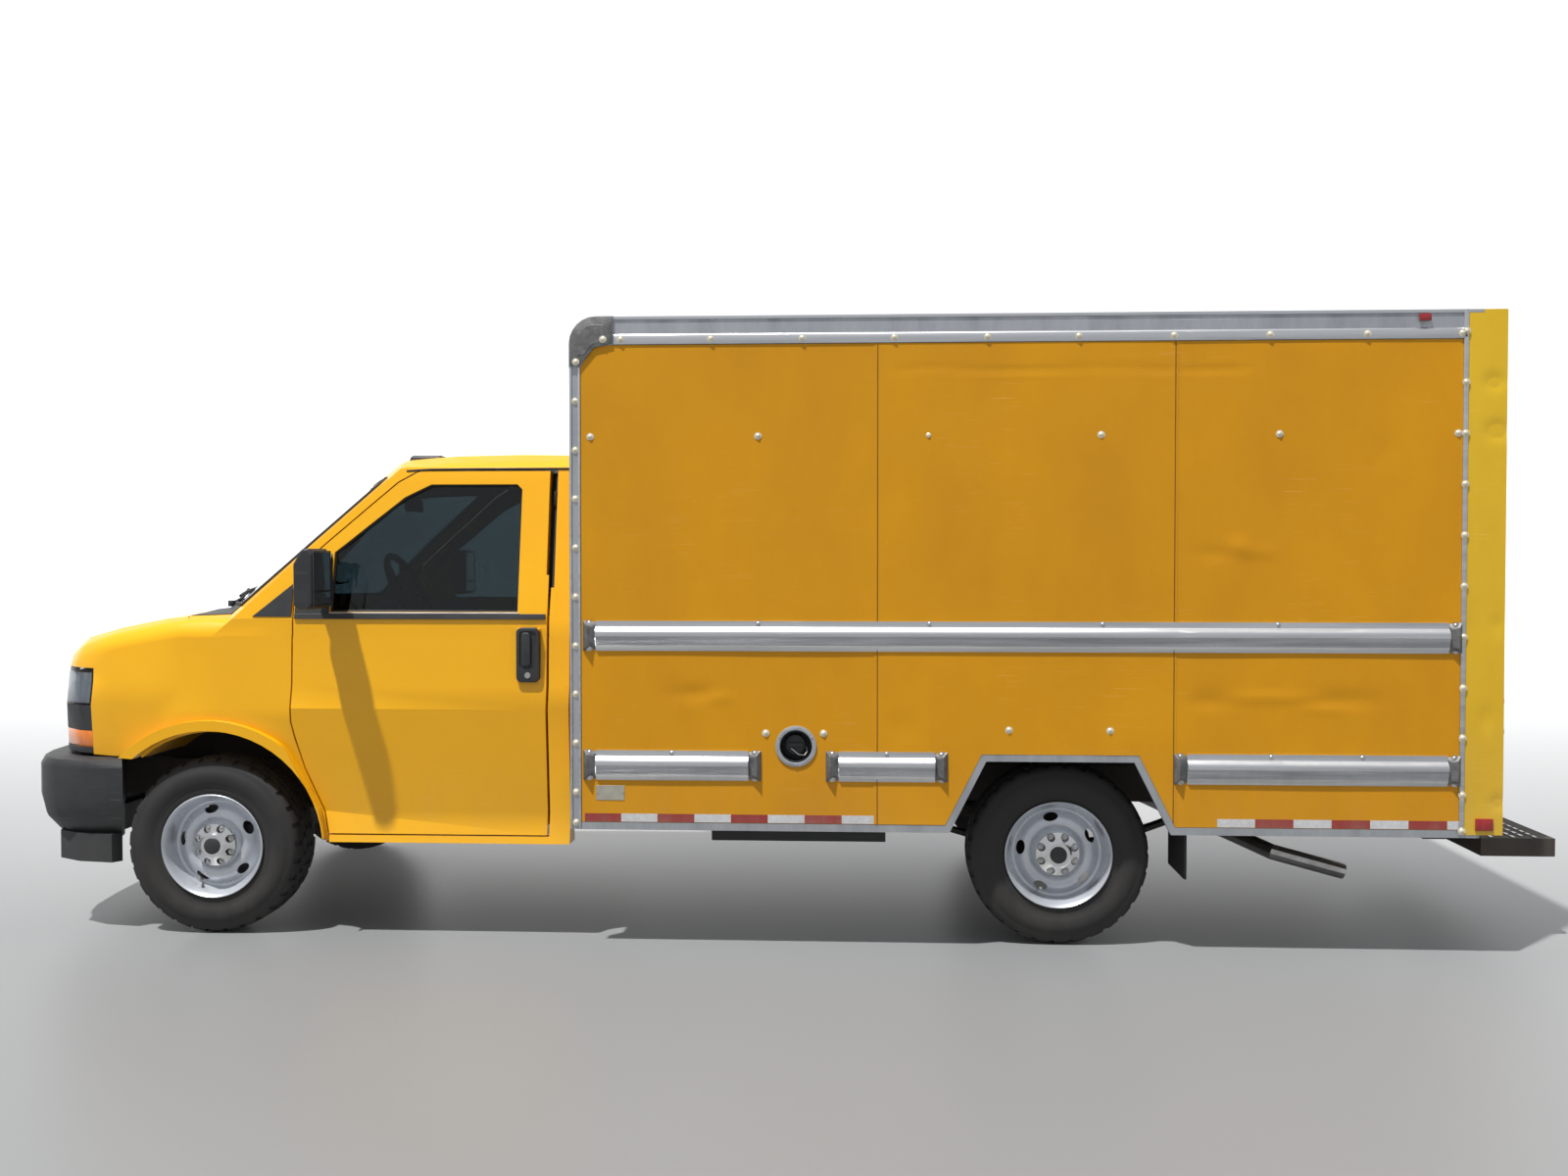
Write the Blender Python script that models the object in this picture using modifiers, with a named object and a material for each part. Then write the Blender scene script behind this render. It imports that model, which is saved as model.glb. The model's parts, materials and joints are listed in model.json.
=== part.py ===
"""Work van: a cutaway cab with a short post-and-panel box body.

Frame: metres, +Z up, forward is -X, the driver's side is -Y.
The origin is the bottom centre of the whole van, on the ground.
Cab sizes are counted back from the front axle, body sizes from the box's front wall.
"""
import math

import bmesh
import bpy
from mathutils import Matrix, Vector

# ---------------------------------------------------------------- driving sizes
WHEELBASE = 3.531
FRONT_OVERHANG = 0.940          # front axle to the front bumper's face
BOX_LENGTH = 3.700
BOX_START = 1.546               # front axle to the box's front wall
STEP_DEPTH = 0.350              # rear step bumper behind the box
GAP = 0.0003                    # between pieces that touch
MOVING_GAP = 0.006              # between a moving piece and its neighbour

WHEEL_Z = 0.370
TYRE_RADIUS = 0.370
TYRE_WIDTH = 0.245
TRACK = 1.734
RIM_RADIUS = 0.208              # where the tyre's bead sits
KINGPIN_Y = 0.720

CAB_HALF_WIDTH = 1.006
CAB_WALL = 0.050
CAB_BACK = 1.520
CABIN_FLOOR = 0.740
FLOOR_OPEN = 0.880              # half width of the opening under the cab's back wall
SILL_Z = 0.395
FENDER_BOTTOM = 0.745
BELT_Z = 1.326
COWL_Z = 1.365
ROOF_Z = 2.052
ARCH_RADIUS = 0.492
FLARE_WIDTH = 0.042
FLARE_PROUD = 0.016
LINER = 0.012
HINGE_OUT = 0.002               # door hinge line, outside the widest point of the side
DOOR_REAR_GAP = 0.010
SWING_ROOM = 0.026              # behind the door's upper frame, on its inner side
HOOD_REAR = -0.130              # at its corners
LAMP_INNER = 0.600
LAMP_BOTTOM = 0.745
LAMP_TOP = 1.110
HOOD_LIP = 1.062                # the hood's lower edge above the grille

FRAME_HALF = 0.430              # outer faces of the two chassis rails
RAIL_WIDE = 0.060
RAIL_BOTTOM = 0.500
RAIL_TOP = 0.660

BOX_HALF_WIDTH = 1.100
BOX_WALL = 0.022
BOX_TOP = 2.556
BOX_ROOF = 0.030
SKIRT_Z = 0.480
FLOOR_Z = 0.815
FLOOR_THICK = 0.050
POST_WIDE = 0.046
TOP_RAIL = 0.115
REAR_POST = 0.155
REAR_FRAME_DEPTH = 0.090
NOSE_RADIUS = 0.110             # the box's rounded upper front edge
RUB_PROUD = 0.028
RUB_HIGH = 0.121
BOTTOM_RAIL = 0.030
SIDE_THICK = 0.003              # how far the panels' outer faces lie inside the posts' faces

# ---------------------------------------------------------------- derived places
LENGTH = FRONT_OVERHANG + BOX_START + BOX_LENGTH + STEP_DEPTH
FRONT_AXLE = -LENGTH / 2 + FRONT_OVERHANG
REAR_AXLE = FRONT_AXLE + WHEELBASE
BOX_FRONT = FRONT_AXLE + BOX_START
BOX_REAR = BOX_FRONT + BOX_LENGTH
WHEEL_Y = TRACK / 2
LEFT, RIGHT = -1, 1


def cab(x):
    """X of a place counted back from the front axle."""
    return FRONT_AXLE + x


# ---------------------------------------------------------------- scene and helpers
for old in list(bpy.data.objects):
    bpy.data.objects.remove(old, do_unlink=True)

VAN = bpy.data.collections.new("work_van")
CUTTERS = bpy.data.collections.new("cutters")
bpy.context.scene.collection.children.link(VAN)
bpy.context.scene.collection.children.link(CUTTERS)


def material(name, colour, roughness, metallic=0.0):
    mat = bpy.data.materials.new(name)
    mat.use_nodes = True
    shader = mat.node_tree.nodes["Principled BSDF"]
    shader.inputs["Base Color"].default_value = (*colour, 1.0)
    shader.inputs["Roughness"].default_value = roughness
    shader.inputs["Metallic"].default_value = metallic
    mat.diffuse_color = (*colour, 1.0)
    return mat


PAINT = dict(colour=(0.90, 0.48, 0.01), roughness=0.25)
BOX_PAINT = dict(colour=(0.55, 0.30, 0.01), roughness=0.45)
ALUMINIUM = dict(colour=(0.62, 0.63, 0.65), roughness=0.35, metallic=1.0)
BLACK_PLASTIC = dict(colour=(0.025, 0.026, 0.028), roughness=0.6)
RUBBER = dict(colour=(0.018, 0.018, 0.018), roughness=0.8)
CHASSIS = dict(colour=(0.03, 0.03, 0.03), roughness=0.7, metallic=0.4)
STEEL = dict(colour=(0.58, 0.60, 0.63), roughness=0.3, metallic=1.0)
GLASS = dict(colour=(0.10, 0.16, 0.18), roughness=0.05)
FABRIC = dict(colour=(0.09, 0.09, 0.10), roughness=0.9)
LAMP = dict(colour=(0.75, 0.78, 0.80), roughness=0.1)
WHITE_WALL = dict(colour=(0.75, 0.75, 0.73), roughness=0.5)


def finish(obj, name, look, smooth=None):
    """Name a piece, give it its own material and put it in the van's collection."""
    obj.name = name
    obj.data.name = name
    obj.data.materials.clear()
    obj.data.materials.append(material(name + "_mat", **look))
    for owner in list(obj.users_collection):
        owner.objects.unlink(obj)
    VAN.objects.link(obj)
    obj.hide_render = False
    obj.display_type = "TEXTURED"
    if obj.modifiers:
        weld = obj.modifiers.new("weld", "WELD")
        weld.merge_threshold = 0.0001
    if smooth is not None:
        obj.data.shade_smooth()
        obj.data.set_sharp_from_angle(angle=math.radians(smooth))
    return obj


def guide(obj):
    """Keep a cutter out of the render and out of the van."""
    obj.hide_render = True
    obj.display_type = "WIRE"
    return obj


def from_bmesh(bm, name="cutter"):
    bmesh.ops.recalc_face_normals(bm, faces=bm.faces)
    if bm.calc_volume(signed=True) < 0:
        bmesh.ops.reverse_faces(bm, faces=bm.faces)
    mesh = bpy.data.meshes.new(name)
    bm.to_mesh(mesh)
    bm.free()
    obj = bpy.data.objects.new(name, mesh)
    CUTTERS.objects.link(obj)
    return guide(obj)


def box(x, y, z):
    """A block between two values along each axis."""
    bm = bmesh.new()
    bmesh.ops.create_cube(bm, size=1.0)
    low = Vector((min(x), min(y), min(z)))
    high = Vector((max(x), max(y), max(z)))
    size = high - low
    bmesh.ops.scale(bm, vec=size, verts=bm.verts)
    bmesh.ops.translate(bm, vec=(low + high) / 2, verts=bm.verts)
    return from_bmesh(bm)


def rod(start, end, radius, end_radius=None, segments=16):
    """A round bar or cone between two points."""
    start, end = Vector(start), Vector(end)
    span = end - start
    bm = bmesh.new()
    bmesh.ops.create_cone(bm, cap_ends=True, segments=segments, radius1=radius,
                          radius2=radius if end_radius is None else end_radius, depth=span.length)
    turn = Vector((0, 0, 1)).rotation_difference(span).to_matrix().to_4x4()
    bmesh.ops.transform(bm, matrix=Matrix.Translation((start + end) / 2) @ turn, verts=bm.verts)
    return from_bmesh(bm)


def baked(obj, name="cutter", weld=0.00001):
    """The evaluated mesh of an object, as a plain mesh object that replaces it."""
    bpy.context.view_layer.update()
    depsgraph = bpy.context.evaluated_depsgraph_get()
    mesh = bpy.data.meshes.new_from_object(obj.evaluated_get(depsgraph))
    bm = bmesh.new()
    bm.from_mesh(mesh)
    bmesh.ops.remove_doubles(bm, verts=bm.verts, dist=weld)
    bmesh.ops.triangulate(bm, faces=bm.faces)
    bmesh.ops.transform(bm, matrix=obj.matrix_world, verts=bm.verts)
    bpy.data.meshes.remove(mesh)
    bpy.data.objects.remove(obj, do_unlink=True)
    return from_bmesh(bm, name)


PLANES = {
    "Y": Matrix(((1, 0, 0, 0), (0, 0, -1, 0), (0, 1, 0, 0), (0, 0, 0, 1))),
    "Z": Matrix.Identity(4),
    "X": Matrix(((0, 0, 1, 0), (1, 0, 0, 0), (0, 1, 0, 0), (0, 0, 0, 1))),
}


def prism(outline, axis, low, high):
    """A flat outline, extruded along an axis. Outlines are XZ for Y, XY for Z and YZ for X."""
    curve = bpy.data.curves.new("outline", "CURVE")
    curve.dimensions = "2D"
    curve.fill_mode = "BOTH"
    curve.extrude = abs(high - low) / 2
    spline = curve.splines.new("POLY")
    spline.points.add(len(outline) - 1)
    for point, place in zip(spline.points, outline):
        point.co = (place[0], place[1], 0.0, 1.0)
    spline.use_cyclic_u = True
    obj = bpy.data.objects.new("outline", curve)
    CUTTERS.objects.link(obj)
    centre = {"X": Vector((1, 0, 0)), "Y": Vector((0, 1, 0)), "Z": Vector((0, 0, 1))}[axis]
    obj.matrix_world = Matrix.Translation(centre * (low + high) / 2) @ PLANES[axis]
    return baked(obj)


def tube(points, radius, sides=3):
    """A round bar bent through a list of points."""
    curve = bpy.data.curves.new("route", "CURVE")
    curve.dimensions = "3D"
    curve.bevel_depth = radius
    curve.bevel_resolution = sides
    curve.use_fill_caps = True
    spline = curve.splines.new("POLY")
    spline.points.add(len(points) - 1)
    for point, place in zip(spline.points, points):
        point.co = (*place, 1.0)
    obj = bpy.data.objects.new("route", curve)
    CUTTERS.objects.link(obj)
    return baked(obj)


def ring(points, radius, sides=3):
    """A closed round bar through a loop of points."""
    curve = bpy.data.curves.new("loop", "CURVE")
    curve.dimensions = "3D"
    curve.bevel_depth = radius
    curve.bevel_resolution = sides
    spline = curve.splines.new("POLY")
    spline.points.add(len(points) - 1)
    for point, place in zip(spline.points, points):
        point.co = (*place, 1.0)
    spline.use_cyclic_u = True
    obj = bpy.data.objects.new("loop", curve)
    CUTTERS.objects.link(obj)
    return baked(obj)


def turned(profile, centre, steps=32):
    """A profile of (radius, along) points turned about the Y axis through a centre."""
    bm = bmesh.new()
    verts = [bm.verts.new((radius, 0.0, along)) for radius, along in profile]
    for first, second in zip(verts, verts[1:] + verts[:1]):
        bm.edges.new((first, second))
    mesh = bpy.data.meshes.new("profile")
    bm.to_mesh(mesh)
    bm.free()
    obj = bpy.data.objects.new("profile", mesh)
    CUTTERS.objects.link(obj)
    screw = obj.modifiers.new("turn", "SCREW")
    screw.steps = steps
    screw.render_steps = steps
    screw.use_merge_vertices = True
    screw.merge_threshold = 0.0001
    obj.matrix_world = Matrix.Translation(centre) @ PLANES["Y"]
    return baked(obj)


def loft(sections):
    """A closed skin over rings that all have the same number of points."""
    bm = bmesh.new()
    rings = [[bm.verts.new(place) for place in section] for section in sections]
    count = len(rings[0])
    for first, second in zip(rings, rings[1:]):
        for i in range(count):
            j = (i + 1) % count
            bm.faces.new((first[i], first[j], second[j], second[i]))
    for cap in (rings[0], rings[-1]):
        bm.faces.new(cap)
    bm.normal_update()
    bmesh.ops.triangulate(bm, faces=bm.faces)
    return from_bmesh(bm)


def combine(obj, other, operation):
    mod = obj.modifiers.new(operation.lower(), "BOOLEAN")
    mod.operation = operation
    mod.solver = "EXACT"
    mod.object = other
    return obj


def cut(obj, *others):
    for other in others:
        combine(obj, other, "DIFFERENCE")
    return obj


def keep(obj, *others):
    for other in others:
        combine(obj, other, "INTERSECT")
    return obj


def join(obj, *others):
    for other in others:
        combine(obj, other, "UNION")
    return obj


def copy_of(obj, matrix=None):
    mesh = obj.data.copy()
    if matrix is not None:
        mesh.transform(matrix)
        if matrix.determinant() < 0:
            mesh.flip_normals()
    other = bpy.data.objects.new("cutter", mesh)
    CUTTERS.objects.link(other)
    return guide(other)


MIRROR = Matrix.Scale(-1, 4, (0, 1, 0))


def mirrored(obj):
    """A copy on the other side of the van."""
    return copy_of(obj, MIRROR)


def grown(outline, distance):
    """An outline moved outward by a distance, counter-clockwise or clockwise alike."""
    count = len(outline)
    area = sum(outline[i][0] * outline[(i + 1) % count][1]
               - outline[(i + 1) % count][0] * outline[i][1] for i in range(count))
    sign = 1.0 if area > 0 else -1.0
    result = []
    for i in range(count):
        before, here, after = (Vector(outline[k % count]) for k in (i - 1, i, i + 1))
        first = (here - before).normalized()
        second = (after - here).normalized()
        normal_a = Vector((first.y, -first.x)) * sign
        normal_b = Vector((second.y, -second.x)) * sign
        middle = (normal_a + normal_b)
        result.append(tuple(here + middle * distance / (1.0 + normal_a.dot(normal_b))))
    return result


def arc(centre, radius, start, end, steps):
    """Points on a circle between two angles in degrees."""
    return [(centre[0] + radius * math.cos(math.radians(start + (end - start) * i / steps)),
             centre[1] + radius * math.sin(math.radians(start + (end - start) * i / steps)))
            for i in range(steps + 1)]


def between(x, stations):
    """A value read off a list of (x, value) by straight lines."""
    if x <= stations[0][0]:
        return stations[0][1]
    for (x0, v0), (x1, v1) in zip(stations, stations[1:]):
        if x <= x1:
            return v0 + (v1 - v0) * (x - x0) / (x1 - x0)
    return stations[-1][1]


# ---------------------------------------------------------------- the cab's outer shape
# Side profile: height and how far the side is drawn in from the widest point.
SIDE_PROFILE = [(SILL_Z, 0.016), (0.526, 0.041), (0.700, 0.024), (0.955, 0.000), (1.053, 0.021)]
HOOD_LINE = [(-0.800, 1.080), (-0.775, 1.150), (-0.720, 1.215), (-0.620, 1.262), (-0.450, 1.305),
             (-0.240, 1.345), (HOOD_REAR, 1.358), (0.060, COWL_Z), (CAB_BACK, COWL_Z)]
NOSE_PLAN = [(-0.800, 0.600), (-0.775, 0.710), (-0.720, 0.800), (-0.620, 0.888), (-0.450, 0.952),
             (-0.240, 0.988), (HOOD_REAR, 0.998), (0.060, CAB_HALF_WIDTH), (CAB_BACK, CAB_HALF_WIDTH)]
ROOF_LINE = [(0.380, 1.900), (0.500, 1.955), (0.640, 1.998), (0.800, 2.030), (1.000, 2.047),
             (1.250, ROOF_Z), (CAB_BACK, 2.046)]
SCREEN_BASE = -0.235            # windshield's centre at its base
SCREEN_BASE_Z = 1.330
SCREEN_SLOPE = 1.200            # run over rise
SCREEN_BOW = 0.300              # how far its corners lie behind its centre
DRIP_Z = 1.964


def both_sides(half):
    """A ring from a half section that runs from the bottom, up the +Y side, to the centre top."""
    return half + [(y, z) if y == 0.0 else (-y, z) for y, z in reversed(half) if y != 0.0]


def lower_section(x, inset, bottom):
    """The body below the belt line: sides, shoulders and the hood or cowl."""
    half_width = between(x, NOSE_PLAN)
    top = between(x, HOOD_LINE)
    side = [(half_width - inset - 0.016, bottom)] if bottom < SILL_Z else []
    side += [(half_width - inset - drawn, z) for z, drawn in SIDE_PROFILE if z < top - 0.2 or z < 0.8]
    while len(side) < len(SIDE_PROFILE) + (1 if bottom < SILL_Z else 0):
        side.append((half_width - inset - 0.018, top - 0.2 + 0.01 * len(side)))
    shoulder = [(half_width - inset - 0.030, top - 0.115 - 0.4 * inset),
                (half_width - inset - 0.052, top - 0.060 - 0.7 * inset),
                (half_width - inset - 0.105, top - 0.024 - inset),
                (half_width * 0.55, top - 0.006 - inset), (0.0, top - inset)]
    return [(cab(x), y, z) for y, z in both_sides(side + shoulder)]


def cabin_section(x, inset, bottom):
    """The body above the belt line: leaning sides, drip edge and a crowned roof."""
    roof = between(x, ROOF_LINE)
    drip = min(DRIP_Z, roof - 0.050)
    half = [(CAB_HALF_WIDTH - 0.034 - inset, bottom), (CAB_HALF_WIDTH - 0.036 - inset, BELT_Z),
            (0.861 - inset, drip - 0.060), (0.845 - inset, drip - inset * 0.6),
            (0.775 - inset * 0.6, roof - 0.030 - inset), (0.500, roof - 0.010 - inset),
            (0.0, roof - inset)]
    return [(cab(x), y, z) for y, z in both_sides(half)]


def screen_block(inset):
    """Everything behind the windshield's surface, moved back by an inset."""
    plan = [(y, SCREEN_BASE + inset + SCREEN_BOW * (y / 0.93) ** 2)
            for y in (-1.05, -0.9, -0.72, -0.5, -0.25, 0.0, 0.25, 0.5, 0.72, 0.9, 1.05)]
    sections = []
    for z in (0.9, 2.4):
        shift = (z - SCREEN_BASE_Z) * SCREEN_SLOPE
        sections.append([(cab(x + shift), y, z) for y, x in plan]
                        + [(cab(4.0), 1.05, z), (cab(4.0), -1.05, z)])
    return loft(sections)


def body_block(inset, bottom_low, bottom_cabin, front, back):
    """The whole cab as one solid, drawn in by an inset on every side."""
    stations = [front] + [x for x, _ in HOOD_LINE if front < x < back] + [0.350, back + 0.10]
    lower = loft([lower_section(x, inset, bottom_low) for x in stations])
    stations = [-0.300, 0.200] + [x for x, _ in ROOF_LINE if x < back] + [back + 0.15]
    cabin = loft([cabin_section(x, inset, bottom_cabin) for x in stations])
    keep(cabin, screen_block(inset * 1.3))
    whole = baked(join(lower, baked(cabin)))
    return baked(keep(whole, box((cab(front - 0.5), cab(back)), (-1.5, 1.5), (0.0, 3.0))))


NOSE = -0.800
cab_outer = body_block(0.0, SILL_Z, 1.250, NOSE, CAB_BACK)
cab_inner = body_block(CAB_WALL, 0.200, 1.100, NOSE + CAB_WALL, CAB_BACK - CAB_WALL)
cab_skin = baked(cut(copy_of(cab_outer), cab_inner))

# Side outlines, XZ, from the front axle.
DOOR_FRONT = 0.352
DOOR_REAR = 1.424
DOOR_BOTTOM = 0.430
DOOR_TOP = 1.950
DOOR_OUTLINE = [(0.504, DOOR_BOTTOM), (DOOR_REAR, DOOR_BOTTOM), (DOOR_REAR, BELT_Z),
                (DOOR_REAR + 0.008, DOOR_TOP), (0.860, DOOR_TOP), (0.770, 1.900), (0.470, 1.640),
                (DOOR_FRONT, 1.535), (DOOR_FRONT, 0.900), (0.368, 0.830), (0.405, 0.705),
                (0.483, 0.520)]
WINDOW_OUTLINE = [(0.505, 1.356), (1.300, 1.356), (1.300, 1.870), (1.278, 1.892), (0.910, 1.892),
                  (0.800, 1.838), (0.510, 1.605)]


def placed(outline):
    return [(cab(x), z) for x, z in outline]


def side_prism(outline, side, inner=0.70, outer=1.30):
    """An outline seen from the side, over one side of the van."""
    low, high = sorted((side * inner, side * outer))
    return prism(placed(outline), "Y", low, high)


def door_opening(side):
    """The hole that a door leaves in the body, with room for it to swing."""
    gap = MOVING_GAP
    outline = grown(DOOR_OUTLINE, gap)
    rear = DOOR_REAR + DOOR_REAR_GAP
    outline[1] = (rear, outline[1][1])
    outline[2] = (rear, BELT_Z)
    outline[3] = (rear + 0.016, DOOR_TOP + gap)
    opening = side_prism(outline, side)
    room = box((cab(1.2), cab(DOOR_REAR + SWING_ROOM)), (side * 0.70, side * 0.945),
               (DOOR_BOTTOM, DOOR_TOP + gap))
    return baked(join(opening, room))


door_openings = {side: door_opening(side) for side in (LEFT, RIGHT)}

# ---------------------------------------------------------------- hood, lamps and grille
HOOD_PLAN = [(-1.000, 0.594), (-0.790, 0.594), (-0.700, 0.640), (-0.450, 0.690), (HOOD_REAR, 0.715),
             (HOOD_REAR - 0.030, 0.550), (HOOD_REAR - 0.080, 0.280)]


def hood_outline(extra):
    """The hood seen from above, grown by a gap; its rear edge follows the windshield."""
    whole = HOOD_PLAN + [(x, -y) for x, y in reversed(HOOD_PLAN)]
    return [(cab(x), y) for x, y in grown(whole, extra)]


def front_outline(extra):
    """Everything ahead of the cowl, seen from above."""
    rear = grown(HOOD_PLAN + [(x, -y) for x, y in reversed(HOOD_PLAN)], MOVING_GAP)
    edge = rear[4:10]
    line = HOOD_REAR + MOVING_GAP + extra
    left = [(-1.3, 1.3), (line, 1.3), (line, edge[0][1])]
    right = [(x, -y) for x, y in reversed(left)]
    return [(cab(x), y) for x, y in left + edge[1:-1] + right]


hood = keep(copy_of(cab_skin), prism(hood_outline(0.0), "Z", HOOD_LIP, 1.6))
finish(hood, "hood", PAINT, 35)

nose_room = prism(hood_outline(MOVING_GAP), "Z", HOOD_LIP - MOVING_GAP, 1.6)

GRILLE_DEEP = 0.060
GRILLE_HALF = LAMP_INNER - 0.004
grille_block = box((cab(NOSE - 0.1), cab(NOSE + GRILLE_DEEP)), (-GRILLE_HALF, GRILLE_HALF),
                   (LAMP_BOTTOM, HOOD_LIP - MOVING_GAP))
grille = keep(copy_of(cab_outer), grille_block)
GRILLE_BAR = 0.022
GRILLE_ROWS = 5
row = (HOOD_LIP - MOVING_GAP - LAMP_BOTTOM - GRILLE_BAR) / GRILLE_ROWS
for index in range(GRILLE_ROWS):
    low = LAMP_BOTTOM + GRILLE_BAR + index * row
    for side in (LEFT, RIGHT):
        cut(grille, box((cab(NOSE - 0.1), cab(NOSE + 0.2)), (side * 0.020, side * (GRILLE_HALF - 0.026)),
                        (low, low + row - GRILLE_BAR)))
finish(grille, "grille", BLACK_PLASTIC)

LAMP_REAR = -0.553
for side, word in ((LEFT, "left"), (RIGHT, "right")):
    lamp_block = box((cab(NOSE - 0.1), cab(LAMP_REAR)), (side * LAMP_INNER, side * 1.1),
                     (LAMP_BOTTOM, LAMP_TOP))
    lamp = keep(copy_of(cab_outer), lamp_block)
    cut(lamp, box((cab(-0.690), cab(0.0)), (side * 0.3, side * 0.780), (0.5, 1.3)))
    cut(lamp, prism(hood_outline(MOVING_GAP), "Z", HOOD_LIP - MOVING_GAP, 1.6))
    finish(lamp, "headlamp_" + word, LAMP)

# ---------------------------------------------------------------- fenders
for side, word in ((LEFT, "left"), (RIGHT, "right")):
    edge = grown(DOOR_OUTLINE, MOVING_GAP)
    rear_edge = [edge[0], edge[11], edge[10], edge[9], edge[8]]
    arch = arc((0.0, WHEEL_Z), ARCH_RADIUS, 3.0, 131.2, 20)
    panel = ([(-0.95, FENDER_BOTTOM), (-0.95, 1.60), (HOOD_REAR, 1.60), (HOOD_REAR, BELT_Z),
              (DOOR_FRONT - MOVING_GAP, BELT_Z)] + rear_edge[:0:-1] + [rear_edge[0]] + arch)
    fender = keep(copy_of(cab_skin), side_prism(panel, side, 0.55))
    liner = arc((0.0, WHEEL_Z), ARCH_RADIUS + 0.004, 12.0, 130.0, 16)
    liner += arc((0.0, WHEEL_Z), ARCH_RADIUS - LINER, 130.0, 12.0, 16)
    join(fender, side_prism(liner, side, 0.56, 0.960))
    flare = arc((0.0, WHEEL_Z), ARCH_RADIUS + 0.004, 5.0, 20.0, 3)
    flare += arc((0.0, WHEEL_Z), ARCH_RADIUS + FLARE_WIDTH, 52.0, 135.5, 12)
    flare += arc((0.0, WHEEL_Z), ARCH_RADIUS - 0.002, 131.0, 5.0, 20)
    join(fender, side_prism(flare, side, 0.955, CAB_HALF_WIDTH + FLARE_PROUD))
    cut(fender, nose_room)
    cut(fender, box((cab(-1.0), cab(LAMP_REAR + GAP)), (side * 0.50, side * 1.2),
                    (0.5, LAMP_TOP + GAP)))
    cut(fender, box((cab(HOOD_REAR), cab(0.6)), (side * 0.5, side * 0.90), (1.0, 2.0)))
    cut(fender, box((cab(-0.25), cab(0.6)), (side * 0.5, side * 0.720), (1.0, 2.0)))
    finish(fender, "fender_" + word, PAINT, 35)

# ---------------------------------------------------------------- cab shell and windshield
FENDER_LINE = DOOR_FRONT - MOVING_GAP + GAP
shell = copy_of(cab_skin)
front_low = [(-1.2, 0.2), (FENDER_LINE, 0.2), (FENDER_LINE, BELT_Z + GAP), (-1.2, BELT_Z + GAP)]
for side in (LEFT, RIGHT):
    cut(shell, side_prism(front_low, side, 0.90 - GAP, 1.3))
cut(shell, box((cab(-1.2), cab(0.505)), (-1.2, 1.2), (0.2, 1.0)))
cut(shell, prism(front_outline(GAP), "Z", 0.9, 1.6))
cut(shell, box((cab(1.0), cab(2.0)), (-FLOOR_OPEN, FLOOR_OPEN), (0.2, CABIN_FLOOR - 0.032)))
for side in (LEFT, RIGHT):
    cut(shell, door_openings[side])
SCREEN_THICK = 0.006
SCREEN_SINK = 0.008
SCREEN_EDGE = 0.062
SCREEN_LOW = COWL_Z + 0.012
SCREEN_STATIONS = (-0.300, 0.380, 0.500, 0.640, 0.800, 1.000)


def screen_pane(edge, front, back):
    """A slice of the cabin behind the windshield's surface, drawn in at its edges."""
    zone = loft([cabin_section(x, edge, BELT_Z - 0.10) for x in SCREEN_STATIONS])
    low = SCREEN_LOW + edge - SCREEN_EDGE
    keep(zone, box((cab(-1.0), cab(2.0)), (-1.5, 1.5), (low, 2.5)))
    return baked(cut(keep(baked(zone), screen_block(front)), screen_block(back)))


screen_hole = screen_pane(SCREEN_EDGE, -0.050, 0.120)
cut(shell, screen_hole)
finish(shell, "cab_shell", PAINT, 35)

windshield = screen_pane(SCREEN_EDGE + GAP, SCREEN_SINK, SCREEN_SINK + SCREEN_THICK * 1.5)
finish(windshield, "windshield", GLASS, 35)

# ---------------------------------------------------------------- doors, glass and mirrors
MIRROR_OUT = 1.235
HANDLE_X = (1.304, 1.397)
HANDLE_Z = (1.072, 1.290)
MIRROR_OUTLINE = [(0.453, 1.395), (0.470, 1.376), (0.525, 1.376), (0.535, 1.400), (0.535, 1.600),
                  (0.520, 1.620), (0.490, 1.620), (0.453, 1.560)]
GLASS_STATIONS = (0.500, 0.640, 0.800, 1.000)
for side, word in ((LEFT, "left"), (RIGHT, "right")):
    door = keep(copy_of(cab_skin), side_prism(DOOR_OUTLINE, side))
    cut(door, side_prism(WINDOW_OUTLINE, side))
    cut(door, box((cab(DOOR_REAR - 0.008), cab(DOOR_REAR + 0.1)), (side * 0.70, side * 0.935),
                  (DOOR_BOTTOM - 0.1, DOOR_TOP + 0.1)))
    join(door, box((cab(HANDLE_X[0]), cab(HANDLE_X[1])), (side * 0.950, side * 0.999), HANDLE_Z))
    finish(door, "door_" + word, PAINT, 35)

    pane = loft([cabin_section(x, 0.022, BELT_Z - 0.10) for x in (0.400, *GLASS_STATIONS, 1.450)])
    cut(pane, loft([cabin_section(x, 0.028, BELT_Z - 0.20) for x in (0.300, *GLASS_STATIONS, 1.550)]))
    keep(pane, side_prism(grown(WINDOW_OUTLINE, -GAP), side))
    finish(pane, "door_glass_" + word, GLASS)

    housing = prism(placed(MIRROR_OUTLINE), "Y", *sorted((side * 1.030, side * MIRROR_OUT)))
    bevel = housing.modifiers.new("round", "BEVEL")
    bevel.width = 0.014
    bevel.segments = 2
    bevel.limit_method = "ANGLE"
    arm_sections = []
    for y, low, high in ((0.974, 1.380, 1.600), (1.045, 1.440, 1.540)):
        corners = ((0.462, low), (0.525, low), (0.525, high), (0.462, high))
        arm_sections.append([(cab(x), side * y, z) for x, z in corners])
    arm = loft(arm_sections)
    join(arm, baked(housing))
    finish(arm, "mirror_" + word, BLACK_PLASTIC, 35)

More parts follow.
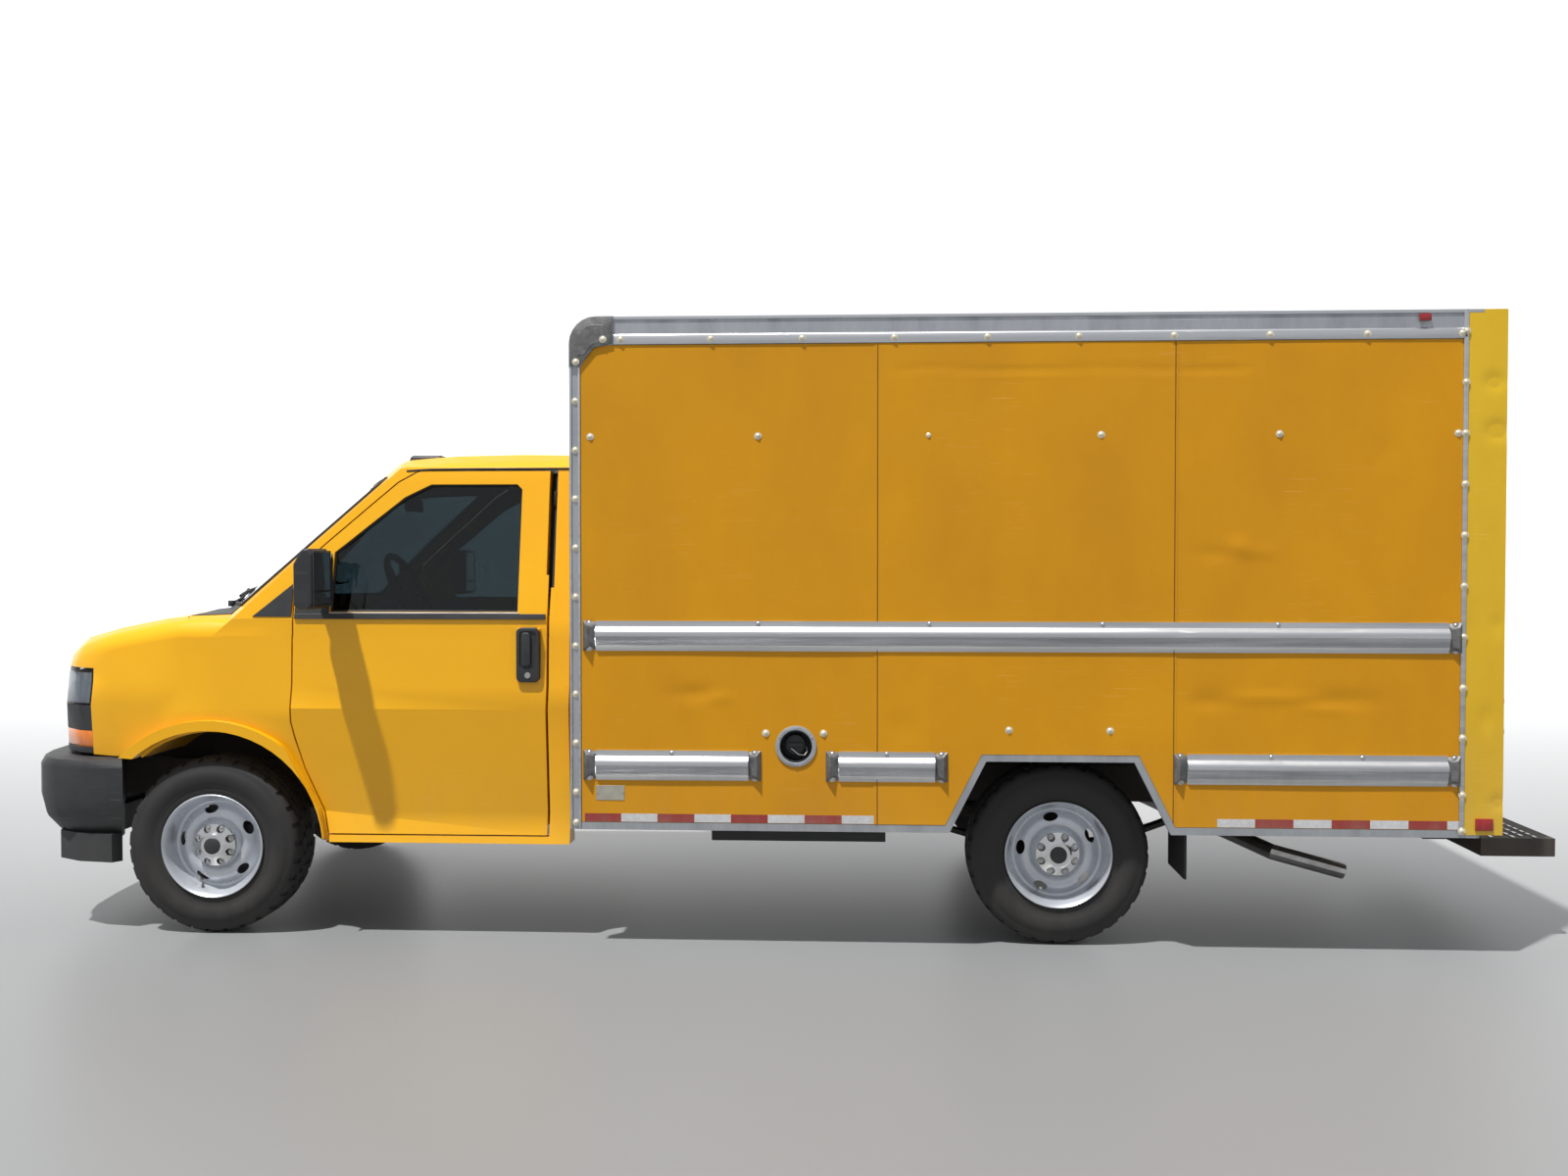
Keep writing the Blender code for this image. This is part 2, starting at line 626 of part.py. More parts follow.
# ---------------------------------------------------------------- inside the cab
FLOOR_HALF = 0.895
FIREWALL = 0.445
FLOOR_REAR = CAB_BACK - CAB_WALL - GAP
FIREWALL_REAR = FIREWALL + 0.030
UNDERSIDE = CABIN_FLOOR - 0.030
floor_side = [(FIREWALL, UNDERSIDE), (FLOOR_REAR, UNDERSIDE), (FLOOR_REAR, CABIN_FLOOR),
              (FIREWALL_REAR, CABIN_FLOOR), (FIREWALL_REAR, 1.250), (FIREWALL, 1.250)]
floor = prism(placed(floor_side), "Y", -FLOOR_HALF, FLOOR_HALF)
for side in (LEFT, RIGHT):
    sill = (side * (FLOOR_HALF - 0.003), side * (FLOOR_HALF - 0.023))
    join(floor, box((cab(0.60), cab(FLOOR_REAR - 0.010)), sill, (0.46, CABIN_FLOOR - 0.010)))
finish(floor, "cab_floor", CHASSIS)

DASH_REAR = 0.720
dash_side = [(FIREWALL_REAR + GAP, 0.95), (FIREWALL_REAR + GAP, 1.255), (0.20, 1.255), (0.20, 1.300),
             (0.36, 1.335), (0.58, 1.345), (0.66, 1.30), (DASH_REAR, 1.20), (0.70, 1.08), (0.60, 0.95)]
dash = prism(placed(dash_side), "Y", -0.860, 0.860)
doghouse = prism(placed([(FIREWALL_REAR + GAP, CABIN_FLOOR + GAP), (0.98, CABIN_FLOOR + GAP), (0.93, 1.03),
                         (0.75, 1.10), (FIREWALL_REAR + GAP, 1.10)]), "Y", -0.190, 0.190)
join(dash, doghouse)
finish(dash, "dashboard", BLACK_PLASTIC)

SEAT_Y = 0.520
SEAT_WIDE = 0.500
SEAT_OUTLINE = [(0.830, 0.930), (0.850, 0.870), (1.330, 0.870), (1.445, 1.500), (1.380, 1.520),
                (1.325, 1.480), (1.245, 1.060), (1.200, 1.015), (0.900, 1.040), (0.845, 1.020)]
HEADREST_OUTLINE = [(1.385, 1.530), (1.445, 1.530), (1.460, 1.740), (1.410, 1.750), (1.360, 1.710)]


def seat(name, side):
    """Base, back, headrest and pedestal of one seat."""
    centre = side * SEAT_Y
    body = prism(placed(SEAT_OUTLINE), "Y", centre - SEAT_WIDE / 2, centre + SEAT_WIDE / 2)
    rest = prism(placed(HEADREST_OUTLINE), "Y", centre - 0.130, centre + 0.130)
    posts = box((cab(1.395), cab(1.420)), (centre - 0.05, centre + 0.05), (1.48, 1.56))
    pedestal = box((cab(0.93), cab(1.30)), (centre - 0.17, centre + 0.17), (CABIN_FLOOR + GAP, 0.88))
    join(body, rest, posts, pedestal)
    return finish(body, name, FABRIC)


seat("driver_seat", LEFT)
seat("passenger_seat", RIGHT)

WHEEL_CENTRE = Vector((cab(0.665), -0.380, 1.425))
COLUMN_TILT = math.radians(28.0)
STEERING_RADIUS = 0.185
COLUMN = Vector((math.cos(COLUMN_TILT), 0.0, math.sin(COLUMN_TILT)))
ACROSS = Vector((0, 1, 0))
UPWARD = COLUMN.cross(ACROSS) * -1


def on_wheel(angle, radius, depth=0.0):
    """A place on the steering wheel, by angle, radius and distance along the column."""
    around = ACROSS * (radius * math.cos(angle)) + UPWARD * (radius * math.sin(angle))
    return WHEEL_CENTRE + around + COLUMN * depth


rim_loop = [on_wheel(2 * math.pi * i / 28, STEERING_RADIUS) for i in range(28)]
steering = ring(rim_loop, 0.0155, 2)
hub = rod(WHEEL_CENTRE - COLUMN * 0.060, WHEEL_CENTRE - COLUMN * 0.005, 0.070, 0.060)
join(steering, hub)
for angle in (math.radians(8), math.radians(172), math.radians(-55), math.radians(-125)):
    spoke = tube([on_wheel(angle, 0.03, -0.03), on_wheel(angle, STEERING_RADIUS, 0.0)], 0.012, 1)
    join(steering, spoke)
steering = baked(steering)
finish(steering, "steering_wheel", BLACK_PLASTIC, 35)
shaft_start = WHEEL_CENTRE - COLUMN * 0.068
column_tube = rod(shaft_start, shaft_start - COLUMN * 0.12, 0.035)
join(dash, column_tube)

# ---------------------------------------------------------------- chassis and running gear
FRAME_FRONT = -0.700
INNER = FRAME_HALF - RAIL_WIDE
CROSS = 0.060
rail_front = cab(FRAME_FRONT)
rail_rear = BOX_REAR - REAR_FRAME_DEPTH - GAP
chassis = box((rail_front, rail_rear), (-FRAME_HALF, -INNER), (RAIL_BOTTOM, RAIL_TOP))
join(chassis, box((rail_front, rail_rear), (INNER, FRAME_HALF), (RAIL_BOTTOM, RAIL_TOP)))
cross_places = [rail_front + 0.010, cab(1.000), cab(2.000), REAR_AXLE - 0.550, REAR_AXLE + 0.620,
                rail_rear - CROSS - 0.010]
for x in cross_places:
    join(chassis, box((x, x + CROSS), (-FRAME_HALF + 0.020, FRAME_HALF - 0.020),
                      (RAIL_BOTTOM + 0.030, RAIL_TOP - 0.020)))
finish(chassis, "chassis_frame", CHASSIS)

ENGINE_HALF = INNER - 0.070
engine = box((cab(-0.48), cab(0.36)), (-ENGINE_HALF, ENGINE_HALF), (0.42, 1.12))
finish(engine, "engine", CHASSIS)
gearbox = baked(rod((cab(0.37), 0, 0.560), (cab(1.02), 0, 0.540), 0.180, 0.100))
keep(gearbox, box((cab(0), cab(0.995)), (-0.5, 0.5), (0.3, RAIL_TOP + 0.03)))
finish(gearbox, "gearbox", CHASSIS)
AXLE_TUBE = 0.052
propshaft = rod((cab(1.07), 0, 0.470), (REAR_AXLE - 0.215, 0, WHEEL_Z + 0.020), 0.040)
finish(propshaft, "propshaft", CHASSIS, 35)

axle = rod((REAR_AXLE, -WHEEL_Y + 0.100, WHEEL_Z), (REAR_AXLE, WHEEL_Y - 0.100, WHEEL_Z), AXLE_TUBE)
join(axle, rod((REAR_AXLE, -0.13, WHEEL_Z), (REAR_AXLE, 0.13, WHEEL_Z), 0.150))
join(axle, rod((REAR_AXLE - 0.205, 0, WHEEL_Z + 0.015), (REAR_AXLE, 0, WHEEL_Z), 0.060, 0.120))
SPRING_Y = FRAME_HALF + 0.035     # inner face of the leaf springs
SPRING_WIDE = 0.065
SPRING_ARC = 27.0
for side in (LEFT, RIGHT):
    join(axle, rod((REAR_AXLE, side * (WHEEL_Y - 0.190), WHEEL_Z),
                   (REAR_AXLE, side * (WHEEL_Y - 0.075), WHEEL_Z), 0.160))
    spring = arc((0.0, 1.66), 1.330, -90 - SPRING_ARC, -90 + SPRING_ARC, 12)
    spring += arc((0.0, 1.66), 1.350, -90 + SPRING_ARC, -90 - SPRING_ARC, 12)
    leaf = prism([(REAR_AXLE + x, z) for x, z in spring], "Y",
                 *sorted((side * SPRING_Y, side * (SPRING_Y + SPRING_WIDE))))
    join(axle, leaf)
    join(axle, box((REAR_AXLE - 0.08, REAR_AXLE + 0.08),
                   (side * (SPRING_Y - 0.005), side * (SPRING_Y + SPRING_WIDE + 0.005)), (0.30, 0.43)))
    for end in (-1, 1):
        x = REAR_AXLE + end * 0.595
        join(axle, box((x - 0.03, x + 0.03),
                       (side * (FRAME_HALF + GAP), side * (SPRING_Y + SPRING_WIDE)), (0.455, 0.560)))
finish(axle, "rear_axle", CHASSIS, 35)

ARM_Y = KINGPIN_Y
suspension = box((cab(-0.10), cab(0.10)), (-INNER + GAP, INNER - GAP), (0.300, 0.400))
for side in (LEFT, RIGHT):
    for low, high, inner in ((0.185, 0.222, 0.250), (0.540, 0.565, FRAME_HALF + 0.010)):
        outline = [(cab(-0.160), side * inner), (cab(-0.045), side * (ARM_Y + 0.035)),
                   (cab(0.045), side * (ARM_Y + 0.035)), (cab(0.160), side * inner)]
        join(suspension, prism(outline, "Z", low, high))
    join(suspension, box((cab(-0.09), cab(0.09)), (side * 0.24, side * (INNER - GAP)), (0.19, 0.36)))
    join(suspension, rod((cab(0.0), side * 0.52, 0.200), (cab(0.0), side * 0.52, 0.55), 0.055))
finish(suspension, "front_suspension", CHASSIS, 35)

tank = box((REAR_AXLE - 1.45, REAR_AXLE - 0.70), (-FRAME_HALF - 0.26, -FRAME_HALF - GAP), (0.360, 0.600))
finish(tank, "fuel_tank", BLACK_PLASTIC)

PIPE = 0.033
MUFFLER = 0.095
EXHAUST_Z = 0.420
EXHAUST_Y = INNER - 0.070
EXHAUST_END = REAR_AXLE - 0.550
PIPE_JOINT_Y = EXHAUST_Y - 0.050
exhaust_route = [(cab(0.600), EXHAUST_Y - 0.020, EXHAUST_Z + 0.010), (cab(1.000), EXHAUST_Y, EXHAUST_Z),
                 (cab(1.600), EXHAUST_Y, EXHAUST_Z), (EXHAUST_END - 0.120, PIPE_JOINT_Y, EXHAUST_Z),
                 (EXHAUST_END, PIPE_JOINT_Y, EXHAUST_Z)]
exhaust = tube(exhaust_route, PIPE, 3)
join(exhaust, rod((cab(1.350), EXHAUST_Y - 0.005, EXHAUST_Z), (cab(1.950), EXHAUST_Y - 0.005, EXHAUST_Z),
                  MUFFLER))
finish(exhaust, "exhaust_front", CHASSIS, 35)

TAIL_Y = -0.640
OVER_AXLE = RAIL_BOTTOM - 0.010
tail_route = [(EXHAUST_END + GAP, PIPE_JOINT_Y, EXHAUST_Z), (EXHAUST_END + 0.050, PIPE_JOINT_Y, EXHAUST_Z),
              (REAR_AXLE - 0.300, PIPE_JOINT_Y, OVER_AXLE), (REAR_AXLE + 0.350, PIPE_JOINT_Y, OVER_AXLE),
              (REAR_AXLE + 0.520, 0.100, 0.450),
              (REAR_AXLE + 0.700, -0.300, 0.400), (REAR_AXLE + 0.800, -0.420, 0.375),
              (REAR_AXLE + 0.950, TAIL_Y, 0.325), (REAR_AXLE + 1.250, TAIL_Y, 0.245)]
tailpipe = tube(tail_route, PIPE, 3)
finish(tailpipe, "tailpipe", STEEL, 35)

# ---------------------------------------------------------------- bumpers
BUMPER_PLAN = [(-0.345, 0.985), (-0.560, 0.978), (-0.700, 0.940), (-0.790, 0.870), (-0.850, 0.780),
               (-0.895, 0.640), (-0.925, 0.400), (-FRONT_OVERHANG, 0.140)]
BUMPER_SECTION = [(0.055, 0.736), (0.018, 0.724), (0.000, 0.690), (0.000, 0.560), (0.020, 0.470),
                  (0.085, 0.392), (0.140, 0.392), (0.150, 0.600), (0.150, 0.725)]
plan = BUMPER_PLAN + [(x, -y) for x, y in reversed(BUMPER_PLAN)]
bumper_sections = []
for index, (x, y) in enumerate(plan):
    ahead = Vector(plan[min(index + 1, len(plan) - 1)]) - Vector(plan[max(index - 1, 0)])
    inward = Vector((-ahead.y, ahead.x)).normalized()
    bumper_sections.append([(cab(x + inward.x * depth), y + inward.y * depth, z)
                            for depth, z in BUMPER_SECTION])
front_bumper = loft(bumper_sections)
AIR_DAM = [(-0.446, 0.955), (-0.600, 0.930), (-0.720, 0.860), (-0.790, 0.640), (-0.800, 0.0)]
dam_outer = [(cab(x), y) for x, y in AIR_DAM] + [(cab(x), -y) for x, y in reversed(AIR_DAM[:-1])]
dam_inner = [(cab(x + 0.030), y * 0.955) for x, y in AIR_DAM]
dam_inner += [(cab(x + 0.030), -y * 0.955) for x, y in reversed(AIR_DAM[:-1])]
dam_solid = prism(dam_outer + dam_inner[::-1], "Z", 0.290, 0.410)
join(front_bumper, dam_solid)
for side in (LEFT, RIGHT):
    join(front_bumper, box((cab(NOSE), cab(FRAME_FRONT) - GAP), (side * 0.36, side * 0.44), (0.52, 0.64)))
SWEEP = math.hypot(TYRE_RADIUS, WHEEL_Y + TYRE_WIDTH / 2 - KINGPIN_Y) + MOVING_GAP
for side in (LEFT, RIGHT):
    kingpin = (FRONT_AXLE, side * KINGPIN_Y)
    cut(front_bumper, rod((*kingpin, 0.2), (*kingpin, 0.9), SWEEP, segments=32))
finish(front_bumper, "front_bumper", BLACK_PLASTIC, 35)

STEP_HALF = 0.780
STEP_TOP = 0.420
STEP_THICK = 0.075
step = box((BOX_REAR + 0.050, BOX_REAR + STEP_DEPTH), (-STEP_HALF, STEP_HALF),
           (STEP_TOP - STEP_THICK, STEP_TOP))
step_arm = [(BOX_REAR - 0.350, RAIL_BOTTOM - GAP), (BOX_REAR - 0.350, 0.470),
            (BOX_REAR - 0.050, STEP_TOP - STEP_THICK), (BOX_REAR + 0.100, STEP_TOP - STEP_THICK),
            (BOX_REAR + 0.100, STEP_TOP), (BOX_REAR - 0.030, RAIL_BOTTOM - GAP)]
for side in (LEFT, RIGHT):
    join(step, prism(step_arm, "Y", *sorted((side * (FRAME_HALF - 0.050), side * (FRAME_HALF - 0.010)))))
finish(step, "rear_bumper", CHASSIS)

# ---------------------------------------------------------------- box body
WALL_IN = BOX_HALF_WIDTH - BOX_WALL
FRAME_START = BOX_REAR - REAR_FRAME_DEPTH
FLOOR_EDGE = WALL_IN - 0.025 - GAP
box_floor = box((BOX_FRONT + BOX_WALL + GAP, FRAME_START - GAP), (-FLOOR_EDGE, FLOOR_EDGE),
                (FLOOR_Z - FLOOR_THICK, FLOOR_Z))
for side in (LEFT, RIGHT):
    join(box_floor, box((BOX_FRONT + 0.050, FRAME_START - GAP),
                        (side * (FRAME_HALF - 0.055), side * (FRAME_HALF - 0.005)),
                        (RAIL_TOP + GAP, FLOOR_Z - 0.010)))
finish(box_floor, "box_floor", CHASSIS)

POST_IN = BOX_HALF_WIDTH - POST_WIDE
front_wall = box((BOX_FRONT, BOX_FRONT + BOX_WALL), (-POST_IN, POST_IN),
                 (SKIRT_Z + 0.200, BOX_TOP - NOSE_RADIUS - GAP))
finish(front_wall, "box_front_wall", BOX_PAINT)

ARCH_FRONT = 0.482              # rear axle to the ends of the rear arch, at the skirt
ARCH_REAR = 0.470
ARCH_TRIM = 0.028
arch_outline = [(REAR_AXLE - ARCH_FRONT - 0.020, SKIRT_Z - 0.1), (REAR_AXLE - ARCH_FRONT, SKIRT_Z),
                (REAR_AXLE - 0.322, 0.796), (REAR_AXLE + 0.299, 0.796),
                (REAR_AXLE + ARCH_REAR - 0.012, SKIRT_Z), (REAR_AXLE + ARCH_REAR, SKIRT_Z - 0.1)]


def across_side(side, clearance=0.2):
    """Y range that passes through one side wall of the box."""
    return sorted((side * (BOX_HALF_WIDTH - clearance), side * (BOX_HALF_WIDTH + clearance)))


for side, word in ((LEFT, "left"), (RIGHT, "right")):
    panel_y = (side * WALL_IN, side * (BOX_HALF_WIDTH - SIDE_THICK))
    wall = box((BOX_FRONT + POST_WIDE + GAP, FRAME_START - GAP), panel_y,
               (SKIRT_Z + BOTTOM_RAIL + GAP, BOX_TOP - TOP_RAIL - GAP))
    cut(wall, prism(grown(arch_outline, GAP), "Y", *across_side(side)))
    finish(wall, "box_side_" + word, BOX_PAINT)

    trim_y = (side * WALL_IN, side * (BOX_HALF_WIDTH + 0.002))
    bottom = (SKIRT_Z, SKIRT_Z + BOTTOM_RAIL)
    trim = prism(arch_outline, "Y", *sorted(trim_y))
    arch_hole = prism(grown(arch_outline, -ARCH_TRIM), "Y", *across_side(side))
    cut(trim, arch_hole)
    cut(trim, box((REAR_AXLE - 1, REAR_AXLE + 1), across_side(side), (0.0, SKIRT_Z)))
    join(trim, box((BOX_FRONT + POST_WIDE + GAP, REAR_AXLE - ARCH_FRONT + 0.020), trim_y, bottom))
    join(trim, box((REAR_AXLE + ARCH_REAR - 0.030, FRAME_START - GAP), trim_y, bottom))
    cut(trim, arch_hole)
    finish(trim, "skirt_rail_" + word, ALUMINIUM)

NOSE_BAR = 0.032                # wall of the rounded bar along the upper front edge
CAP_LONG = 0.182
CAP_LOW = 0.204
nose_centre = (BOX_FRONT + NOSE_RADIUS, BOX_TOP - NOSE_RADIUS)
corner = arc(nose_centre, NOSE_RADIUS, 90, 180, 6)
box_frame = prism(corner + arc(nose_centre, NOSE_RADIUS - NOSE_BAR, 180, 90, 6),
                  "Y", -BOX_HALF_WIDTH, BOX_HALF_WIDTH)
cap_outline = [(BOX_FRONT, BOX_TOP - CAP_LOW)] + corner[::-1]
cap_outline += [(BOX_FRONT + CAP_LONG, BOX_TOP), (BOX_FRONT + CAP_LONG, BOX_TOP - TOP_RAIL),
                (BOX_FRONT + 0.100, BOX_TOP - 0.125), (BOX_FRONT + POST_WIDE, BOX_TOP - CAP_LOW)]
RAIL_IN = WALL_IN - 0.010
for side in (LEFT, RIGHT):
    join(box_frame, box((BOX_FRONT, BOX_FRONT + POST_WIDE), (side * (POST_IN + GAP), side * BOX_HALF_WIDTH),
                        (SKIRT_Z, BOX_TOP - NOSE_RADIUS + 0.005)))
    join(box_frame, box((BOX_FRONT + NOSE_RADIUS - 0.010, FRAME_START - GAP),
                        (side * RAIL_IN, side * BOX_HALF_WIDTH), (BOX_TOP - TOP_RAIL, BOX_TOP - 0.0005)))
    cap_y = sorted((side * (BOX_HALF_WIDTH - SIDE_THICK + GAP), side * (BOX_HALF_WIDTH + 0.006)))
    join(box_frame, prism(cap_outline, "Y", *cap_y))
finish(box_frame, "box_frame", ALUMINIUM)

roof = box((BOX_FRONT + NOSE_RADIUS + GAP, FRAME_START - GAP), (-RAIL_IN + GAP, RAIL_IN - GAP),
           (BOX_TOP - 0.012 - BOX_ROOF, BOX_TOP - 0.012))
finish(roof, "box_roof", WHITE_WALL)

rear = box((FRAME_START, BOX_REAR), (-BOX_HALF_WIDTH, BOX_HALF_WIDTH), (SKIRT_Z + 0.012, BOX_TOP))
DOOR_HALF = BOX_HALF_WIDTH - 0.085
ROLL_TOP = BOX_TOP - 0.230
cut(rear, box((BOX_REAR - 1, BOX_REAR + 1), (-DOOR_HALF, DOOR_HALF), (FLOOR_Z, ROLL_TOP)))
LEG_WIDE = 0.140
cut(rear, box((FRAME_START - 0.1, BOX_REAR + 1), (-DOOR_HALF + LEG_WIDE, DOOR_HALF - LEG_WIDE),
              (0.3, FLOOR_Z - 0.190)))
finish(rear, "rear_frame", BOX_PAINT)

SLATS = 8
SLAT_FACE = BOX_REAR - 0.025
SLAT_BACK = BOX_REAR - 0.050
SLAT_GROOVE = 0.006
slat = (ROLL_TOP - FLOOR_Z - 2 * GAP) / SLATS
door_side = [(SLAT_BACK, FLOOR_Z + GAP), (SLAT_FACE, FLOOR_Z + GAP)]
for index in range(SLATS):
    top = FLOOR_Z + GAP + (index + 1) * slat
    door_side += [(SLAT_FACE, top - SLAT_GROOVE), (SLAT_FACE - SLAT_GROOVE, top - SLAT_GROOVE / 2),
                  (SLAT_FACE, top)]
door_side[-1] = (SLAT_FACE, ROLL_TOP - GAP)
door_side.append((SLAT_BACK, ROLL_TOP - GAP))
rollup = prism(door_side, "Y", -DOOR_HALF + GAP, DOOR_HALF - GAP)
finish(rollup, "rollup_door", WHITE_WALL)


RUB_FLANGE = 0.006
RUB_TAPER = 0.040


def rub_rail(name, x, z, side):
    """A bulged rail along the side, tapered at both ends."""
    low, high = x
    profile = [(0.0, z), (RUB_FLANGE, z), (RUB_PROUD, z + RUB_HIGH * 0.33),
               (RUB_PROUD, z + RUB_HIGH * 0.62), (RUB_FLANGE, z + RUB_HIGH), (0.0, z + RUB_HIGH)]
    start = side * (BOX_HALF_WIDTH + GAP - SIDE_THICK)
    sections = []
    for place, share in ((low, 0.35), (low + RUB_TAPER, 1.0), (high - RUB_TAPER, 1.0), (high, 0.35)):
        sections.append([(place, start + side * (proud * share if proud > RUB_FLANGE else proud), height)
                         for proud, height in profile])
    return finish(loft(sections), name, ALUMINIUM)


RUB_START = BOX_FRONT + 0.054
RUB_END = BOX_REAR - REAR_POST - 0.008
UPPER_RUB = 1.207
LOWER_RUB = 0.683
for side, word in ((LEFT, "left"), (RIGHT, "right")):
    rub_rail("rub_upper_" + word, (RUB_START, RUB_END), UPPER_RUB, side)
    rub_rail("rub_rear_" + word, (REAR_AXLE + 0.436, RUB_END), LOWER_RUB, side)
rub_rail("rub_front_left", (RUB_START, REAR_AXLE - 1.207), LOWER_RUB, LEFT)
rub_rail("rub_middle_left", (REAR_AXLE - 0.947, REAR_AXLE - 0.457), LOWER_RUB, LEFT)
rub_rail("rub_front_right", (RUB_START, REAR_AXLE - 0.457), LOWER_RUB, RIGHT)

FILLER_X, FILLER_Z = REAR_AXLE - 1.067, 0.824
FILLER_OUTER, FILLER_HOLE = 0.078, 0.063
FILLER_CAP = 0.032


def filler_rod(start, end, radius):
    """A round piece on the filler's axis, between two depths behind the wall's face."""
    wall = -BOX_HALF_WIDTH
    return rod((FILLER_X, wall + start, FILLER_Z), (FILLER_X, wall + end, FILLER_Z), radius)


cup = filler_rod(-0.006, 0.090, FILLER_OUTER)
cut(cup, filler_rod(-0.020, 0.080, FILLER_HOLE))
join(cup, filler_rod(0.085, 0.045, FILLER_CAP))
finish(cup, "fuel_filler", BLACK_PLASTIC, 35)
cut(bpy.data.objects["box_side_left"], filler_rod(-0.050, 0.200, FILLER_OUTER + GAP))
cut(bpy.data.objects["box_floor"], box((FILLER_X - 0.090, FILLER_X + 0.090),
                                       (-BOX_HALF_WIDTH - 0.100, -BOX_HALF_WIDTH + 0.100), (0.6, 1.0)))

flap_x = REAR_AXLE + 0.490
flap_top = FLOOR_Z - FLOOR_THICK
for side, word in ((LEFT, "left"), (RIGHT, "right")):
    outer = WALL_IN - 0.028
    flap = box((flap_x, flap_x + 0.010), (side * outer, side * (outer - 0.310)), (0.292, flap_top - 0.010))
    join(flap, box((flap_x - 0.020, flap_x + 0.012), (side * (outer + 0.002), side * (outer - 0.312)),
                   (flap_top - 0.030, flap_top - GAP)))
    finish(flap, "mud_flap_" + word, RUBBER)

# ---------------------------------------------------------------- wheels and knuckles
TYRE_HALF = TYRE_WIDTH / 2
TYRE_PROFILE = [(RIM_RADIUS, -0.095), (0.230, -0.108), (0.290, -TYRE_HALF), (0.335, -0.116), (0.362, -0.098),
                (TYRE_RADIUS, -0.070), (TYRE_RADIUS, 0.070), (0.362, 0.098), (0.335, 0.116),
                (0.290, TYRE_HALF), (0.230, 0.108), (RIM_RADIUS, 0.095)]
RIM_OUTER = RIM_RADIUS - GAP
RIM_PROFILE = [(0.205, 0.100), (RIM_OUTER, 0.096), (RIM_OUTER, -0.096), (0.199, -0.100), (0.196, -0.060),
               (0.180, -0.030), (0.180, 0.020), (0.155, 0.062), (0.095, 0.040), (0.0, 0.040),
               (0.0, 0.066), (0.085, 0.072), (0.100, 0.052), (0.158, 0.078), (0.192, 0.056)]
SLOTS = 5
SLOT_CIRCLE = 0.142
SLOT_RADIUS = 0.022


def wheel(centre, side, word):
    """A tyre and its slotted rim; the rim's dish faces outwards."""
    tyre = turned([(radius, -along) for radius, along in TYRE_PROFILE], centre)
    finish(tyre, "tyre_" + word, RUBBER, 40)
    rim = turned([(radius, -side * along) for radius, along in RIM_PROFILE], centre)
    for index in range(SLOTS):
        angle = math.radians(90 + 360 * index / SLOTS)
        place = Vector((math.cos(angle), 0, math.sin(angle))) * SLOT_CIRCLE + Vector(centre)
        through = Vector((0, 0.2, 0))
        cut(rim, rod(place - through, place + through, SLOT_RADIUS, segments=8))
    finish(rim, "rim_" + word, STEEL, 40)


for x, end in ((FRONT_AXLE, "front"), (REAR_AXLE, "rear")):
    for side, word in ((LEFT, "left"), (RIGHT, "right")):
        wheel((x, side * WHEEL_Y, WHEEL_Z), side, end + "_" + word)

for side, word in ((LEFT, "left"), (RIGHT, "right")):
    upright = rod((FRONT_AXLE, side * KINGPIN_Y, 0.228), (FRONT_AXLE, side * KINGPIN_Y, 0.534), 0.032)
    join(upright, rod((FRONT_AXLE, side * (KINGPIN_Y - 0.005), WHEEL_Z),
                      (FRONT_AXLE, side * (WHEEL_Y + 0.020), WHEEL_Z), 0.050))
    join(upright, rod((FRONT_AXLE, side * 0.790, WHEEL_Z), (FRONT_AXLE, side * 0.818, WHEEL_Z), 0.160))
    finish(upright, "knuckle_" + word, CHASSIS, 35)

# ---------------------------------------------------------------- pivots of the moving pieces
DOOR_HINGE_Y = CAB_HALF_WIDTH + HINGE_OUT
PIVOTS = {"hood": (cab(HOOD_REAR), 0.0, 1.358), "steering_wheel": WHEEL_CENTRE}
for side, word in ((LEFT, "left"), (RIGHT, "right")):
    for piece in ("door_", "door_glass_", "mirror_"):
        PIVOTS[piece + word] = (cab(DOOR_FRONT), side * DOOR_HINGE_Y, 1.0)
    PIVOTS["knuckle_" + word] = (FRONT_AXLE, side * KINGPIN_Y, WHEEL_Z)
    for x, end in ((FRONT_AXLE, "front_"), (REAR_AXLE, "rear_")):
        for piece in ("tyre_", "rim_"):
            PIVOTS[piece + end + word] = (x, side * WHEEL_Y, WHEEL_Z)

for name, pivot in PIVOTS.items():
    moving = bpy.data.objects[name]
    place = Matrix.Translation(pivot)
    moving.data.transform(place.inverted() @ moving.matrix_world)
    moving.matrix_world = place
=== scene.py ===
# %% [markdown]
# Work van: a yellow cutaway cab in front of a panelled box body, seen from its driver's side.
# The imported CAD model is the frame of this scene. It is loaded first, and everything below is placed
# from the boxes of its nodes. The van faces -X, its driver's side is -Y and the ground is Z = 0.

# %% Load the frame
import json
import math
import random

import bmesh
import bpy
from mathutils import Matrix, Vector

